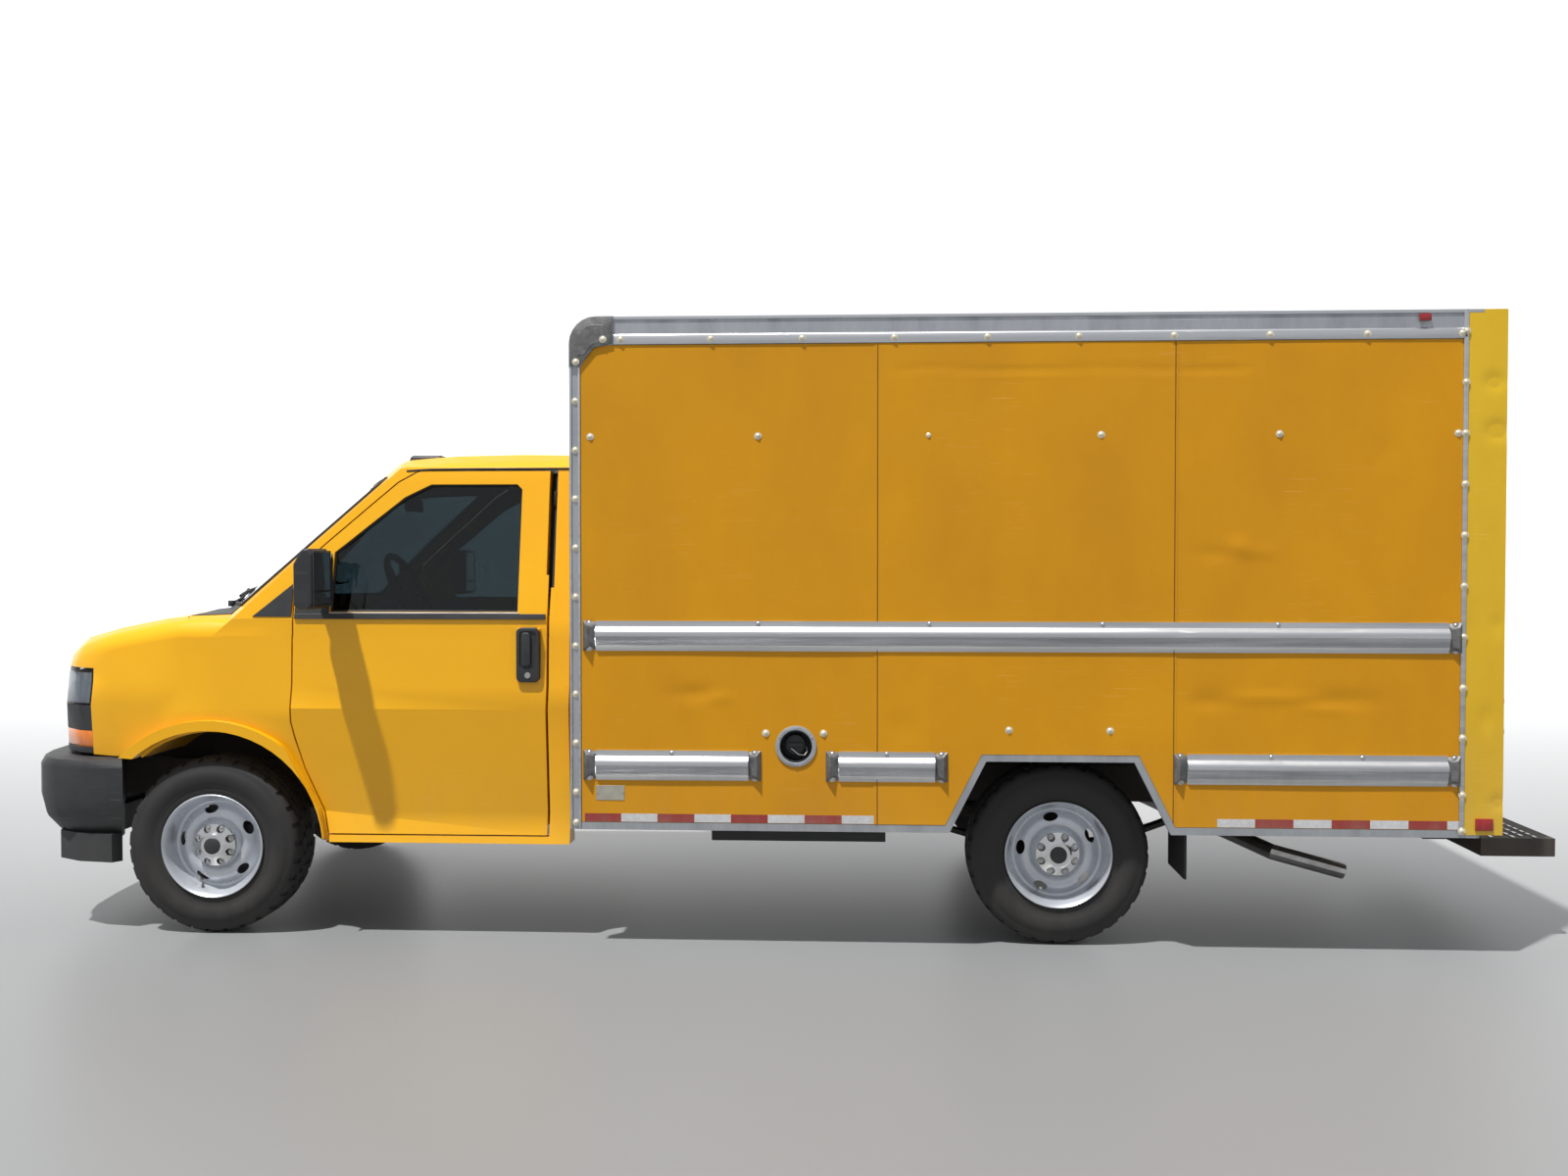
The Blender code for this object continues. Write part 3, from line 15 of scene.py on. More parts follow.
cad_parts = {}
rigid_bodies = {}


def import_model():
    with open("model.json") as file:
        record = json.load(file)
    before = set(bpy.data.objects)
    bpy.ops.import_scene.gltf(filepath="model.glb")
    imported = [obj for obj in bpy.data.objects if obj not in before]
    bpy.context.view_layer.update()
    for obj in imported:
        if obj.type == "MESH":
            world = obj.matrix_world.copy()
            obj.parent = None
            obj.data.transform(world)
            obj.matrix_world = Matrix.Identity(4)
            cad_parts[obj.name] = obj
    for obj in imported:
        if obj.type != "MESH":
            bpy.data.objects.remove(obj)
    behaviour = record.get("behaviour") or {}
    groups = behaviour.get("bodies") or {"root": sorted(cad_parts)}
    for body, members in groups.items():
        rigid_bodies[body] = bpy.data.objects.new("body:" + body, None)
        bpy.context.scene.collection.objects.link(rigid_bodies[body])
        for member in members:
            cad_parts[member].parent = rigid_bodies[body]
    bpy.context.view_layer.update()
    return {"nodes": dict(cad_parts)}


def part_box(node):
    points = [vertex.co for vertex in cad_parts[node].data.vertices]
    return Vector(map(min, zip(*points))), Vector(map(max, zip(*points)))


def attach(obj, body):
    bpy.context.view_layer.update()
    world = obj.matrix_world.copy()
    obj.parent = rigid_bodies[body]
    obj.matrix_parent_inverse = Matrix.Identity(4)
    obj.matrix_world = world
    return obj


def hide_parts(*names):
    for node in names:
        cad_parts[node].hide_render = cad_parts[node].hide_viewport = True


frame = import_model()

random.seed(7)
LEFT, RIGHT = -1, 1
SIDES = ((LEFT, "left"), (RIGHT, "right"))
NODES = frame["nodes"]


def middle(node):
    """The centre of a CAD node's box."""
    low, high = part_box(node)
    return Vector([(a + b) / 2 for a, b in zip(low, high)])


FRONT_AXLE = middle("tyre_front_left").x
REAR_AXLE = middle("tyre_rear_left").x
WHEEL_Z = middle("tyre_rear_left").z
BOX_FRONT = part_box("box_frame")[0][0]
BOX_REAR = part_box("rear_frame")[1][0]
BOX_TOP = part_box("rear_frame")[1][2]
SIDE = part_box("rear_frame")[1][1]              # half width of the box body
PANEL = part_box("box_side_right")[1][1]         # outer face of the side panels
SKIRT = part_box("skirt_rail_left")[0][2]
print("axles", round(FRONT_AXLE, 3), round(REAR_AXLE, 3), "box", round(BOX_FRONT, 3), round(BOX_REAR, 3))


def cab(x):
    """X of a place counted back from the front axle."""
    return FRONT_AXLE + x


# %% [markdown]
# Shapes are made as by hand: a primitive is added, its corners are set, and it is worked on in edit mode.
# These short helpers save repeating the same clicks. An operator acts on all that is selected, so each
# helper deselects everything first.

# %% Selecting and settling
def only(*objs):
    """Select just these objects, in object mode."""
    bpy.ops.object.select_all(action="DESELECT")
    for obj in objs:
        obj.select_set(True)
    bpy.context.view_layer.objects.active = objs[0]
    return objs[0]


def settle(obj):
    """Put the object's place into its mesh, so that it sits unturned at the origin."""
    only(obj)
    bpy.ops.object.transform_apply(location=True, rotation=True, scale=True)
    return obj


def pick(obj, test, kind="FACE"):
    """Enter edit mode with just the faces, edges or corners that pass a test selected."""
    only(obj)
    bpy.ops.object.mode_set(mode="EDIT")
    bpy.ops.mesh.select_mode(type=kind)
    bpy.ops.mesh.select_all(action="DESELECT")
    bm = bmesh.from_edit_mesh(obj.data)
    bm.normal_update()
    parts = {"FACE": bm.faces, "EDGE": bm.edges, "VERT": bm.verts}[kind]
    for part in parts:
        if test(part):
            part.select_set(True)
    bmesh.update_edit_mesh(obj.data)
    return obj


def leave(obj, outward=False):
    """Back to object mode, with the normals recalculated where a step may have turned them."""
    if outward:
        bpy.ops.mesh.select_all(action="SELECT")
        bpy.ops.mesh.normals_make_consistent(inside=False)
    bpy.ops.object.mode_set(mode="OBJECT")
    return obj


def modify(obj, kind, **settings):
    """Add a modifier with these settings and apply it."""
    only(obj)
    mod = obj.modifiers.new(kind.lower(), kind)
    for name, value in settings.items():
        setattr(mod, name, value)
    bpy.ops.object.modifier_apply(modifier=mod.name)
    return obj


def rounded(obj, width, segments=2, angle=30):
    """Bevel the sharp edges."""
    return modify(obj, "BEVEL", width=width, segments=segments, limit_method="ANGLE",
                  angle_limit=math.radians(angle))


def boolean(obj, other, operation="DIFFERENCE"):
    """Cut, keep or join with another object, which is then deleted."""
    modify(obj, "BOOLEAN", operation=operation, solver="EXACT", object=other)
    bpy.data.objects.remove(other, do_unlink=True)
    return obj


# %% Starting shapes
def block(x, y, z, bevel=0.0, segments=2):
    """A block between two values along each axis, with rounded edges."""
    low = Vector((min(x), min(y), min(z)))
    high = Vector((max(x), max(y), max(z)))
    bpy.ops.object.select_all(action="DESELECT")
    bpy.ops.mesh.primitive_cube_add(size=1, location=(low + high) / 2, scale=high - low)
    obj = settle(bpy.context.object)
    return rounded(obj, bevel, segments) if bevel else obj


TURNS = {"X": (0, math.pi / 2, 0), "Y": (math.pi / 2, 0, 0), "Z": (0, 0, 0)}


def disc(centre, radius, depth, axis="Y", sides=32, bevel=0.0, end=None):
    """A round piece, or a cone where end gives the second radius."""
    bpy.ops.object.select_all(action="DESELECT")
    bpy.ops.mesh.primitive_cone_add(vertices=sides, radius1=radius, radius2=radius if end is None else end,
                                    depth=depth, location=centre, rotation=TURNS[axis])
    obj = settle(bpy.context.object)
    return rounded(obj, bevel) if bevel else obj


def bar(start, end, radius, sides=12):
    """A round bar between two points."""
    start, end = Vector(start), Vector(end)
    span = end - start
    turn = Vector((0, 0, 1)).rotation_difference(span).to_euler()
    bpy.ops.object.select_all(action="DESELECT")
    bpy.ops.mesh.primitive_cylinder_add(vertices=sides, radius=radius, depth=span.length,
                                        location=(start + end) / 2, rotation=turn)
    return settle(bpy.context.object)


def sheet_grid(x_range, z_range, across, up):
    """An upright grid in the XZ plane, to be pushed into shape."""
    bpy.ops.object.select_all(action="DESELECT")
    bpy.ops.mesh.primitive_grid_add(x_subdivisions=across, y_subdivisions=up, size=1)
    obj = settle(bpy.context.object)
    (left, right), (low, high) = x_range, z_range
    for corner in obj.data.vertices:
        x, y, _ = corner.co
        corner.co = (left + (right - left) * (x + 0.5), 0.0, low + (high - low) * (y + 0.5))
    return obj


def outline(points, filled=True):
    """A flat shape in the XZ plane, from a circle whose corners are moved to the points."""
    bpy.ops.object.select_all(action="DESELECT")
    bpy.ops.mesh.primitive_circle_add(vertices=len(points), radius=1, rotation=(math.pi / 2, 0, 0),
                                      fill_type="NGON" if filled else "NOTHING")
    obj = settle(bpy.context.object)
    for corner, (x, z) in zip(obj.data.vertices, points):
        corner.co = (x, 0.0, z)
    return obj


def plate(points, near, far, frame_width=0.0):
    """A flat shape made thick between two Y values; with a frame width it is a ring."""
    obj = outline(points)
    pick(obj, lambda face: True)
    if frame_width:
        bpy.ops.mesh.inset(thickness=frame_width, depth=0)
        bpy.ops.mesh.delete(type="FACE")
        bpy.ops.mesh.select_all(action="SELECT")
    bpy.ops.mesh.extrude_region_move(TRANSFORM_OT_translate={"value": (0, far - near, 0)})
    bpy.ops.mesh.select_all(action="SELECT")
    bpy.ops.transform.translate(value=(0, near, 0))
    return leave(obj, outward=True)


def turned(profile, centre, steps, axis=(0, 1, 0)):
    """A closed profile of (radius, along Y) points spun round an axis through a centre."""
    obj = outline([(radius, 0.0) for radius, _ in profile], filled=False)
    for corner, (radius, along) in zip(obj.data.vertices, profile):
        corner.co = (centre[0] + radius, centre[1] + along, centre[2])
    pick(obj, lambda edge: True, "EDGE")
    bpy.ops.mesh.spin(steps=steps, angle=2 * math.pi, center=centre, axis=axis)
    bpy.ops.mesh.select_all(action="SELECT")
    bpy.ops.mesh.remove_doubles(threshold=0.00005)
    return leave(obj, outward=True)


def sweep(points, radius, sides=8, closed=False):
    """A round bar bent through points, made a mesh."""
    curve = bpy.data.curves.new("route", "CURVE")
    curve.dimensions = "3D"
    curve.bevel_depth = radius
    curve.bevel_resolution = sides // 4
    curve.use_fill_caps = not closed
    spline = curve.splines.new("POLY")
    spline.points.add(len(points) - 1)
    for point, place in zip(spline.points, points):
        point.co = (*place, 1.0)
    spline.use_cyclic_u = closed
    obj = bpy.data.objects.new("route", curve)
    bpy.context.scene.collection.objects.link(obj)
    only(obj)
    bpy.ops.object.convert(target="MESH")
    return bpy.context.object


def copied(obj, matrix=Matrix.Identity(4)):
    """A copy with its own mesh, moved or mirrored."""
    twin = obj.copy()
    twin.data = obj.data.copy()
    twin.data.transform(matrix)
    if matrix.determinant() < 0:
        twin.data.flip_normals()
    bpy.context.scene.collection.objects.link(twin)
    return twin


def merged(objs):
    """Several objects joined into the first."""
    only(*objs)
    if len(objs) > 1:
        bpy.ops.object.join()
    return bpy.context.object


OTHER_SIDE = Matrix.Scale(-1, 4, (0, 1, 0))


def skin_copy(node):
    """A copy of a CAD node's mesh with its loose triangles merged, to build on."""
    obj = copied(NODES[node])
    obj.parent = None
    obj.matrix_world = Matrix.Identity(4)
    only(obj)
    bpy.ops.object.mode_set(mode="EDIT")
    bpy.ops.mesh.select_all(action="SELECT")
    bpy.ops.mesh.remove_doubles(threshold=0.0001)
    bpy.ops.object.mode_set(mode="OBJECT")
    obj.data.materials.clear()
    return obj


def done(obj, name, look, body="van", smooth=32):
    """Name a piece, give it its finish, and let it ride on its body."""
    obj.name = name
    obj.data.name = name
    obj.data.materials.clear()
    obj.data.materials.append(look)
    only(obj)
    if smooth:
        bpy.ops.object.shade_smooth_by_angle(angle=math.radians(smooth))
    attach(obj, body)
    return obj


def both(obj, name, look, body="van", smooth=32):
    """A piece made for the left side, and its mirror copy on the right."""
    twin = copied(obj, OTHER_SIDE)
    right_body = body.replace("left", "right")
    done(obj, name + "_left", look, body, smooth)
    done(twin, name + "_right", look, right_body, smooth)
    return obj, twin


# %% [markdown]
# The floor is a grey sweep that curves up far behind the van, so there is no horizon. It looks pale by
# painted light:
# it glows, from none near the van to pale grey far behind it and on the sweep. Light comes from a high sun,
# which gives the rails their bright tops and the shade below them, and an even pale sky. The camera stands
# level with the cab's window, a little behind the middle, and looks slightly forward.

# %% Floor, light and camera
def studio():
    """Floor sweep, a high sun, an even pale sky and the camera."""
    bpy.ops.object.select_all(action="DESELECT")
    bpy.ops.mesh.primitive_grid_add(x_subdivisions=2, y_subdivisions=48, size=2)
    floor = settle(bpy.context.object)
    for corner in floor.data.vertices:
        x, y, _ = corner.co
        along = 45.0 * y
        rise = max(0.0, along - 16.0)
        corner.co = (70.0 * x, min(along, 16.0) + 9.0 * math.sin(min(rise / 9.0, math.pi / 2)),
                     9.0 - 9.0 * math.cos(min(rise / 9.0, math.pi / 2)) + max(0.0, rise - 14.0))
    floor.name = "floor"
    only(floor)
    bpy.ops.object.shade_smooth()
    look = bpy.data.materials.new("floor_paint")
    look.use_nodes = True
    tree = look.node_tree
    shader = tree.nodes["Principled BSDF"]
    split = tree.nodes.new("ShaderNodeSeparateXYZ")
    ramp = tree.nodes.new("ShaderNodeValToRGB")
    span = tree.nodes.new("ShaderNodeMapRange")
    tree.links.new(tree.nodes.new("ShaderNodeTexCoord").outputs["Object"], split.inputs[0])
    tree.links.new(split.outputs[1], span.inputs["Value"])
    span.inputs["From Min"].default_value = -1.0
    span.inputs["From Max"].default_value = 16.0
    tree.links.new(span.outputs[0], ramp.inputs[0])
    ramp.color_ramp.elements[0].color = (0.0, 0.0, 0.0, 1)
    ramp.color_ramp.elements[1].color = (0.78, 0.78, 0.78, 1)
    # Painted light: the floor glows by this ramp, from none up to just inside the van's near side to pale
    # grey 16 m behind it and on the sweep.
    tree.links.new(ramp.outputs[0], shader.inputs["Emission Color"])
    shader.inputs["Emission Strength"].default_value = 1.0
    shader.inputs["Base Color"].default_value = (0.20, 0.205, 0.21, 1)
    shader.inputs["Roughness"].default_value = 0.42
    floor.data.materials.append(look)

    world = bpy.data.worlds.new("sky")
    bpy.context.scene.world = world
    world.use_nodes = True
    world.node_tree.nodes["Background"].inputs["Color"].default_value = (0.93, 0.96, 1.0, 1)
    world.node_tree.nodes["Background"].inputs["Strength"].default_value = 0.55

    sun = bpy.data.lights.new("sun", "SUN")
    sun.energy = 5.6
    sun.angle = math.radians(1.6)
    sun.color = (1.0, 0.985, 0.96)
    holder = bpy.data.objects.new("sun", sun)
    bpy.context.scene.collection.objects.link(holder)
    holder.rotation_euler = Vector((0.26, 0.275, -1.0)).to_track_quat("-Z", "Y").to_euler()

    lens = bpy.data.cameras.new("camera")
    lens.sensor_width = 36.0
    lens.lens = 33.75
    camera = bpy.data.objects.new("camera", lens)
    bpy.context.scene.collection.objects.link(camera)
    camera.location = (REAR_AXLE - 0.803, -7.0, 1.600)
    camera.rotation_euler = (math.radians(90.0 - 1.34), 0.0, math.radians(3.03))
    bpy.context.scene.camera = camera
    bpy.context.scene.view_settings.view_transform = "Standard"


studio()
print("studio ready")

# %% [markdown]
# Wear is what makes paint and metal look real. Four effects are shared by most finishes, so each one is a
# shader node group: road grime that thickens towards the ground, fine scratches, small chips, and the
# slight waves of pressed sheet. All of them read Object coordinates, so they stay put on the piece.

# %% Shader groups
def new_group(name, inputs, output, kind="NodeSocketFloat"):
    """An empty node group with named number inputs and one output."""
    group = bpy.data.node_groups.new(name, "ShaderNodeTree")
    for label, value in inputs.items():
        socket = group.interface.new_socket(label, in_out="INPUT", socket_type="NodeSocketFloat")
        socket.default_value = value
    group.interface.new_socket(output, in_out="OUTPUT", socket_type=kind)
    return group, group.nodes.new("NodeGroupInput"), group.nodes.new("NodeGroupOutput")


def feed(tree, node, **links):
    """Set a node's inputs: a number is written in, an output socket is linked."""
    for label, value in links.items():
        key = int(label[1:]) if label[0] == "i" and label[1:].isdigit() else label.replace("_", " ")
        socket = node.inputs[key]
        if isinstance(value, bpy.types.NodeSocket):
            tree.links.new(value, socket)
        else:
            socket.default_value = value
    return node


def maths(tree, operation, first, second, clamp=False):
    node = tree.nodes.new("ShaderNodeMath")
    node.operation = operation
    node.use_clamp = clamp
    feed(tree, node, i0=first, i1=second)
    return node.outputs[0]


def noise(tree, scale, detail=3.0, stretch=(1, 1, 1), roughness=0.5):
    """Noise on Object coordinates, stretched along some axes."""
    place = tree.nodes.new("ShaderNodeTexCoord").outputs["Object"]
    mapping = feed(tree, tree.nodes.new("ShaderNodeMapping"), Vector=place, Scale=stretch)
    texture = tree.nodes.new("ShaderNodeTexNoise")
    feed(tree, texture, Vector=mapping.outputs[0], Scale=scale, Detail=detail, Roughness=roughness)
    return texture.outputs[0]


def remap(tree, value, low, high, new_low=0.0, new_high=1.0):
    node = tree.nodes.new("ShaderNodeMapRange")
    feed(tree, node, i0=value, i1=low, i2=high, i3=new_low, i4=new_high)
    return node.outputs[0]


def grime_group():
    group, source, sink = new_group("road_grime", {"High": 1.2, "Low": 0.4, "Amount": 0.5}, "Mask")
    place = group.nodes.new("ShaderNodeTexCoord").outputs["Object"]
    split = feed(group, group.nodes.new("ShaderNodeSeparateXYZ"), Vector=place)
    level = remap(group, split.outputs[2], source.outputs["High"], source.outputs["Low"])
    patchy = remap(group, noise(group, 5.0, 6.0, (1, 1, 0.35), 0.65), 0.30, 0.72, 0.25, 1.0)
    streaks = remap(group, noise(group, 26.0, 4.0, (1, 1, 0.06)), 0.35, 0.70, 0.45, 1.0)
    mask = maths(group, "MULTIPLY", maths(group, "MULTIPLY", level, patchy), streaks)
    group.links.new(maths(group, "MULTIPLY", mask, source.outputs["Amount"], True), sink.inputs[0])
    return group


def scratch_group():
    group, source, sink = new_group("fine_scratches", {"Amount": 0.5}, "Mask")
    along = noise(group, 9.0, 2.0, (0.5, 0.5, 34.0))
    lines = remap(group, along, 0.66, 0.70)
    gaps = remap(group, noise(group, 2.3, 2.0), 0.50, 0.62)
    mask = maths(group, "MULTIPLY", lines, gaps)
    group.links.new(maths(group, "MULTIPLY", mask, source.outputs["Amount"], True), sink.inputs[0])
    return group


def chip_group():
    group, source, sink = new_group("paint_chips", {"Scale": 60.0, "Amount": 0.5}, "Mask")
    spots = group.nodes.new("ShaderNodeTexVoronoi")
    place = group.nodes.new("ShaderNodeTexCoord").outputs["Object"]
    feed(group, spots, Vector=place, Scale=source.outputs["Scale"])
    dots = remap(group, spots.outputs["Distance"], 0.10, 0.07)
    some = remap(group, noise(group, 3.5, 3.0), 0.58, 0.66)
    mask = maths(group, "MULTIPLY", dots, some)
    group.links.new(maths(group, "MULTIPLY", mask, source.outputs["Amount"], True), sink.inputs[0])
    return group


def wave_group():
    group, source, sink = new_group("sheet_waves", {"Waves": 1.0, "Peel": 0.1}, "Height")
    broad = maths(group, "MULTIPLY", noise(group, 1.7, 1.0), source.outputs["Waves"])
    fine = maths(group, "MULTIPLY", noise(group, 260.0, 1.0), source.outputs["Peel"])
    group.links.new(maths(group, "ADD", broad, fine), sink.inputs[0])
    return group


GROUPS = {"grime": grime_group(), "scratches": scratch_group(), "chips": chip_group(), "waves": wave_group()}
print("shader groups:", ", ".join(group.name for group in GROUPS.values()))


# %% [markdown]
# One function lays those effects over two close shades of a base colour. The amounts differ by finish:
# the cab's paint is glossy under a clear coat, the box panels are flatter and darker, and bare aluminium
# is brushed along its length. Values that are the same all over are set straight on the shader's sockets.

# %% Finishes
def blend(tree, factor, first, second):
    node = tree.nodes.new("ShaderNodeMix")
    node.data_type = "RGBA"
    tree.links.new(factor, node.inputs[0])
    for socket, value in ((node.inputs[6], first), (node.inputs[7], second)):
        if isinstance(value, bpy.types.NodeSocket):
            tree.links.new(value, socket)
        else:
            socket.default_value = (*value, 1.0)
    return node.outputs[2]


def effect(tree, key, **values):
    node = tree.nodes.new("ShaderNodeGroup")
    node.node_tree = GROUPS[key]
    feed(tree, node, **values)
    return node.outputs[0]


DUST = (0.30, 0.25, 0.19)


def surface(name, shade, other, rough=0.4, metal=0.0, coat=0.0, variation=(3.0, (1, 1, 1)), grime=None,
            chips=None, scratches=0.0, waves=(0.0, 0.0), bump=0.3, rough_swing=0.10, extra=None):
    """A finish: two shades mixed by noise, then chips, scratches and grime on top."""
    look = bpy.data.materials.new(name)
    look.use_nodes = True
    tree = look.node_tree
    shader = tree.nodes["Principled BSDF"]
    scale, stretch = variation
    cloud = remap(tree, noise(tree, scale, 5.0, stretch, 0.6), 0.32, 0.68)
    colour = blend(tree, cloud, shade, other)
    height = maths(tree, "MULTIPLY", cloud, 0.02)
    roughness = remap(tree, cloud, 0.0, 1.0, rough - rough_swing / 2, rough + rough_swing / 2)
    if chips:
        spots = effect(tree, "chips", Scale=chips[0], Amount=chips[1])
        colour = blend(tree, spots, colour, chips[2])
        height = maths(tree, "SUBTRACT", height, maths(tree, "MULTIPLY", spots, 0.10))
    if scratches:
        lines = effect(tree, "scratches", Amount=scratches)
        colour = blend(tree, lines, colour, tuple(min(1.0, 0.25 + 1.1 * value) for value in shade))
        roughness = maths(tree, "ADD", roughness, maths(tree, "MULTIPLY", lines, 0.2))
    if grime:
        dirt = effect(tree, "grime", High=grime[0], Low=grime[1], Amount=grime[2])
        colour = blend(tree, dirt, colour, grime[3] if len(grime) > 3 else DUST)
        roughness = maths(tree, "ADD", roughness, maths(tree, "MULTIPLY", dirt, 0.45), True)
    if waves != (0.0, 0.0):
        height = maths(tree, "ADD", height, effect(tree, "waves", Waves=waves[0], Peel=waves[1]))
    if extra:
        height, colour = extra(tree, height, colour)
    lumps = feed(tree, tree.nodes.new("ShaderNodeBump"), Strength=bump, Distance=0.01, Height=height)
    feed(tree, shader, Base_Color=colour, Roughness=roughness, Normal=lumps.outputs[0])
    shader.inputs["Metallic"].default_value = metal
    shader.inputs["Coat Weight"].default_value = coat
    shader.inputs["Coat Roughness"].default_value = 0.04
    return look


def weave(tree, height, colour):
    """Crossed threads for seat cloth."""
    place = tree.nodes.new("ShaderNodeTexCoord").outputs["Object"]
    for direction in ("X", "Z"):
        wave = tree.nodes.new("ShaderNodeTexWave")
        wave.bands_direction = direction
        feed(tree, wave, Vector=place, Scale=150.0, Distortion=1.5)
        height = maths(tree, "ADD", height, maths(tree, "MULTIPLY", wave.outputs["Fac"], 0.12))
    return height, colour


YELLOW = (0.80, 0.400, 0.001)
CAB_PAINT = surface("cab_paint", YELLOW, (0.76, 0.370, 0.001), 0.34, coat=0.45, variation=(1.4, (1, 1, 1)),
                    grime=(0.80, 0.30, 0.16), chips=(70.0, 0.35, (0.55, 0.50, 0.42)), scratches=0.10,
                    waves=(0.25, 0.012), bump=0.22, rough_swing=0.06)
PANEL_PAINT = surface("panel_paint", (0.60, 0.270, 0.001), (0.53, 0.230, 0.001), 0.50, coat=0.0,
                      variation=(2.6, (1, 1, 0.6)), grime=(0.85, 0.42, 0.12), scratches=0.22,
                      chips=(45.0, 0.30, (0.70, 0.52, 0.25)), waves=(0.9, 0.02), bump=0.28)
POST_PAINT = surface("post_paint", (0.72, 0.46, 0.010), (0.62, 0.37, 0.008), 0.36, coat=0.5,
                     variation=(2.2, (1, 1, 0.5)), grime=(0.95, 0.40, 0.45), scratches=0.30,
                     chips=(50.0, 0.6, (0.35, 0.30, 0.22)), waves=(0.7, 0.02), bump=0.30)
ALUMINIUM = surface("brushed_aluminium", (0.72, 0.73, 0.75), (0.50, 0.51, 0.53), 0.34, metal=1.0,
                    variation=(34.0, (0.04, 1, 1)), grime=(1.5, 0.35, 0.35, (0.25, 0.23, 0.20)),
                    scratches=0.6, bump=0.25, rough_swing=0.16)
DULL_ALUMINIUM = surface("weathered_aluminium", (0.47, 0.49, 0.52), (0.33, 0.35, 0.38), 0.50, metal=0.75,
                         variation=(9.0, (1, 1, 0.25)), grime=(2.6, 0.40, 0.30, (0.30, 0.28, 0.25)),
                         scratches=0.4, bump=0.25, rough_swing=0.2)
CAST = surface("cast_alloy", (0.22, 0.22, 0.22), (0.12, 0.12, 0.12), 0.55, metal=0.7,
               variation=(30.0, (1, 1, 1)), chips=(90.0, 0.8, (0.55, 0.55, 0.55)), waves=(0.0, 0.25),
               bump=0.5)
BLACK = surface("moulded_plastic", (0.017, 0.018, 0.020), (0.027, 0.028, 0.030), 0.52,
                variation=(7.0, (1, 1, 1)), grime=(0.80, 0.25, 0.14, (0.16, 0.15, 0.14)), scratches=0.25,
                waves=(0.0, 0.12), bump=0.35)
GREY_PLASTIC = surface("cabin_plastic", (0.10, 0.10, 0.105), (0.13, 0.13, 0.135), 0.6,
                       variation=(5.0, (1, 1, 1)), waves=(0.0, 0.2), bump=0.4)
TRIM = surface("cabin_trim", (0.30, 0.29, 0.27), (0.24, 0.23, 0.22), 0.7, variation=(5.0, (1, 1, 1)),
               waves=(0.0, 0.2), bump=0.4)
RUBBER = surface("tyre_rubber", (0.010, 0.010, 0.011), (0.018, 0.017, 0.017), 0.72,
                 variation=(9.0, (1, 1, 1)), grime=(0.78, 0.0, 0.26, (0.11, 0.095, 0.08)),
                 waves=(0.0, 0.10), bump=0.30)
UNDERBODY = surface("underbody_black", (0.030, 0.029, 0.028), (0.060, 0.050, 0.042), 0.65, metal=0.2,
                    variation=(6.0, (1, 1, 1)), grime=(0.85, 0.20, 0.75, (0.13, 0.105, 0.08)),
                    chips=(60.0, 0.7, (0.20, 0.09, 0.04)), bump=0.4)
WHEEL_PAINT = surface("wheel_silver", (0.62, 0.65, 0.70), (0.50, 0.53, 0.58), 0.28, metal=0.55, coat=0.5,
                      variation=(6.0, (1, 1, 1)), grime=(0.60, 0.10, 0.30, (0.22, 0.19, 0.16)),
                      chips=(80.0, 0.5, (0.25, 0.17, 0.12)), bump=0.15)
CHROME = surface("chrome", (0.80, 0.80, 0.80), (0.70, 0.70, 0.71), 0.10, metal=1.0,
                 variation=(12.0, (1, 1, 1)), grime=(0.60, 0.2, 0.15), bump=0.05, rough_swing=0.06)
STEEL = surface("bare_steel", (0.60, 0.60, 0.60), (0.42, 0.40, 0.38), 0.38, metal=1.0,
                variation=(14.0, (1, 1, 1)), chips=(70.0, 0.6, (0.24, 0.12, 0.06)), bump=0.2)
BOLT = surface("painted_bolt", (0.80, 0.74, 0.58), (0.60, 0.56, 0.46), 0.35, metal=0.35,
               variation=(30.0, (1, 1, 1)), bump=0.2)
WHITE = surface("white_panel", (0.72, 0.72, 0.70), (0.62, 0.62, 0.60), 0.45, coat=0.2,
                variation=(2.5, (1, 1, 0.4)), grime=(1.6, 0.75, 0.45), scratches=0.35,
                waves=(0.5, 0.02), bump=0.25)
CLOTH = surface("seat_cloth", (0.075, 0.078, 0.085), (0.11, 0.112, 0.12), 0.92, variation=(40.0, (1, 1, 1)),
                bump=0.8, extra=weave)
VINYL = surface("seat_vinyl", (0.050, 0.050, 0.052), (0.075, 0.074, 0.073), 0.55,
                variation=(12.0, (1, 1, 1)), waves=(0.0, 0.5), bump=0.5)
AMBER = surface("amber_lens", (0.80, 0.22, 0.010), (0.62, 0.14, 0.006), 0.18, coat=0.8,
                variation=(60.0, (1, 1, 0.1)), bump=0.4)
RED_LENS = surface("red_lens", (0.34, 0.010, 0.010), (0.22, 0.006, 0.006), 0.18, coat=0.8,
                   variation=(60.0, (1, 1, 0.1)), bump=0.4)
RED_TAPE = surface("red_tape", (0.30, 0.014, 0.012), (0.22, 0.010, 0.010), 0.38, coat=0.3,
                   variation=(70.0, (1, 1, 1)), grime=(0.60, 0.50, 0.4), bump=0.4)
WHITE_TAPE = surface("white_tape", (0.62, 0.63, 0.65), (0.50, 0.51, 0.53), 0.36, coat=0.3,
                     variation=(70.0, (1, 1, 1)), grime=(0.60, 0.50, 0.5), bump=0.4)
BLANK_PLATE = surface("grey_label", (0.36, 0.34, 0.28), (0.28, 0.27, 0.23), 0.45,
                      variation=(20.0, (1, 1, 1)), bump=0.15)


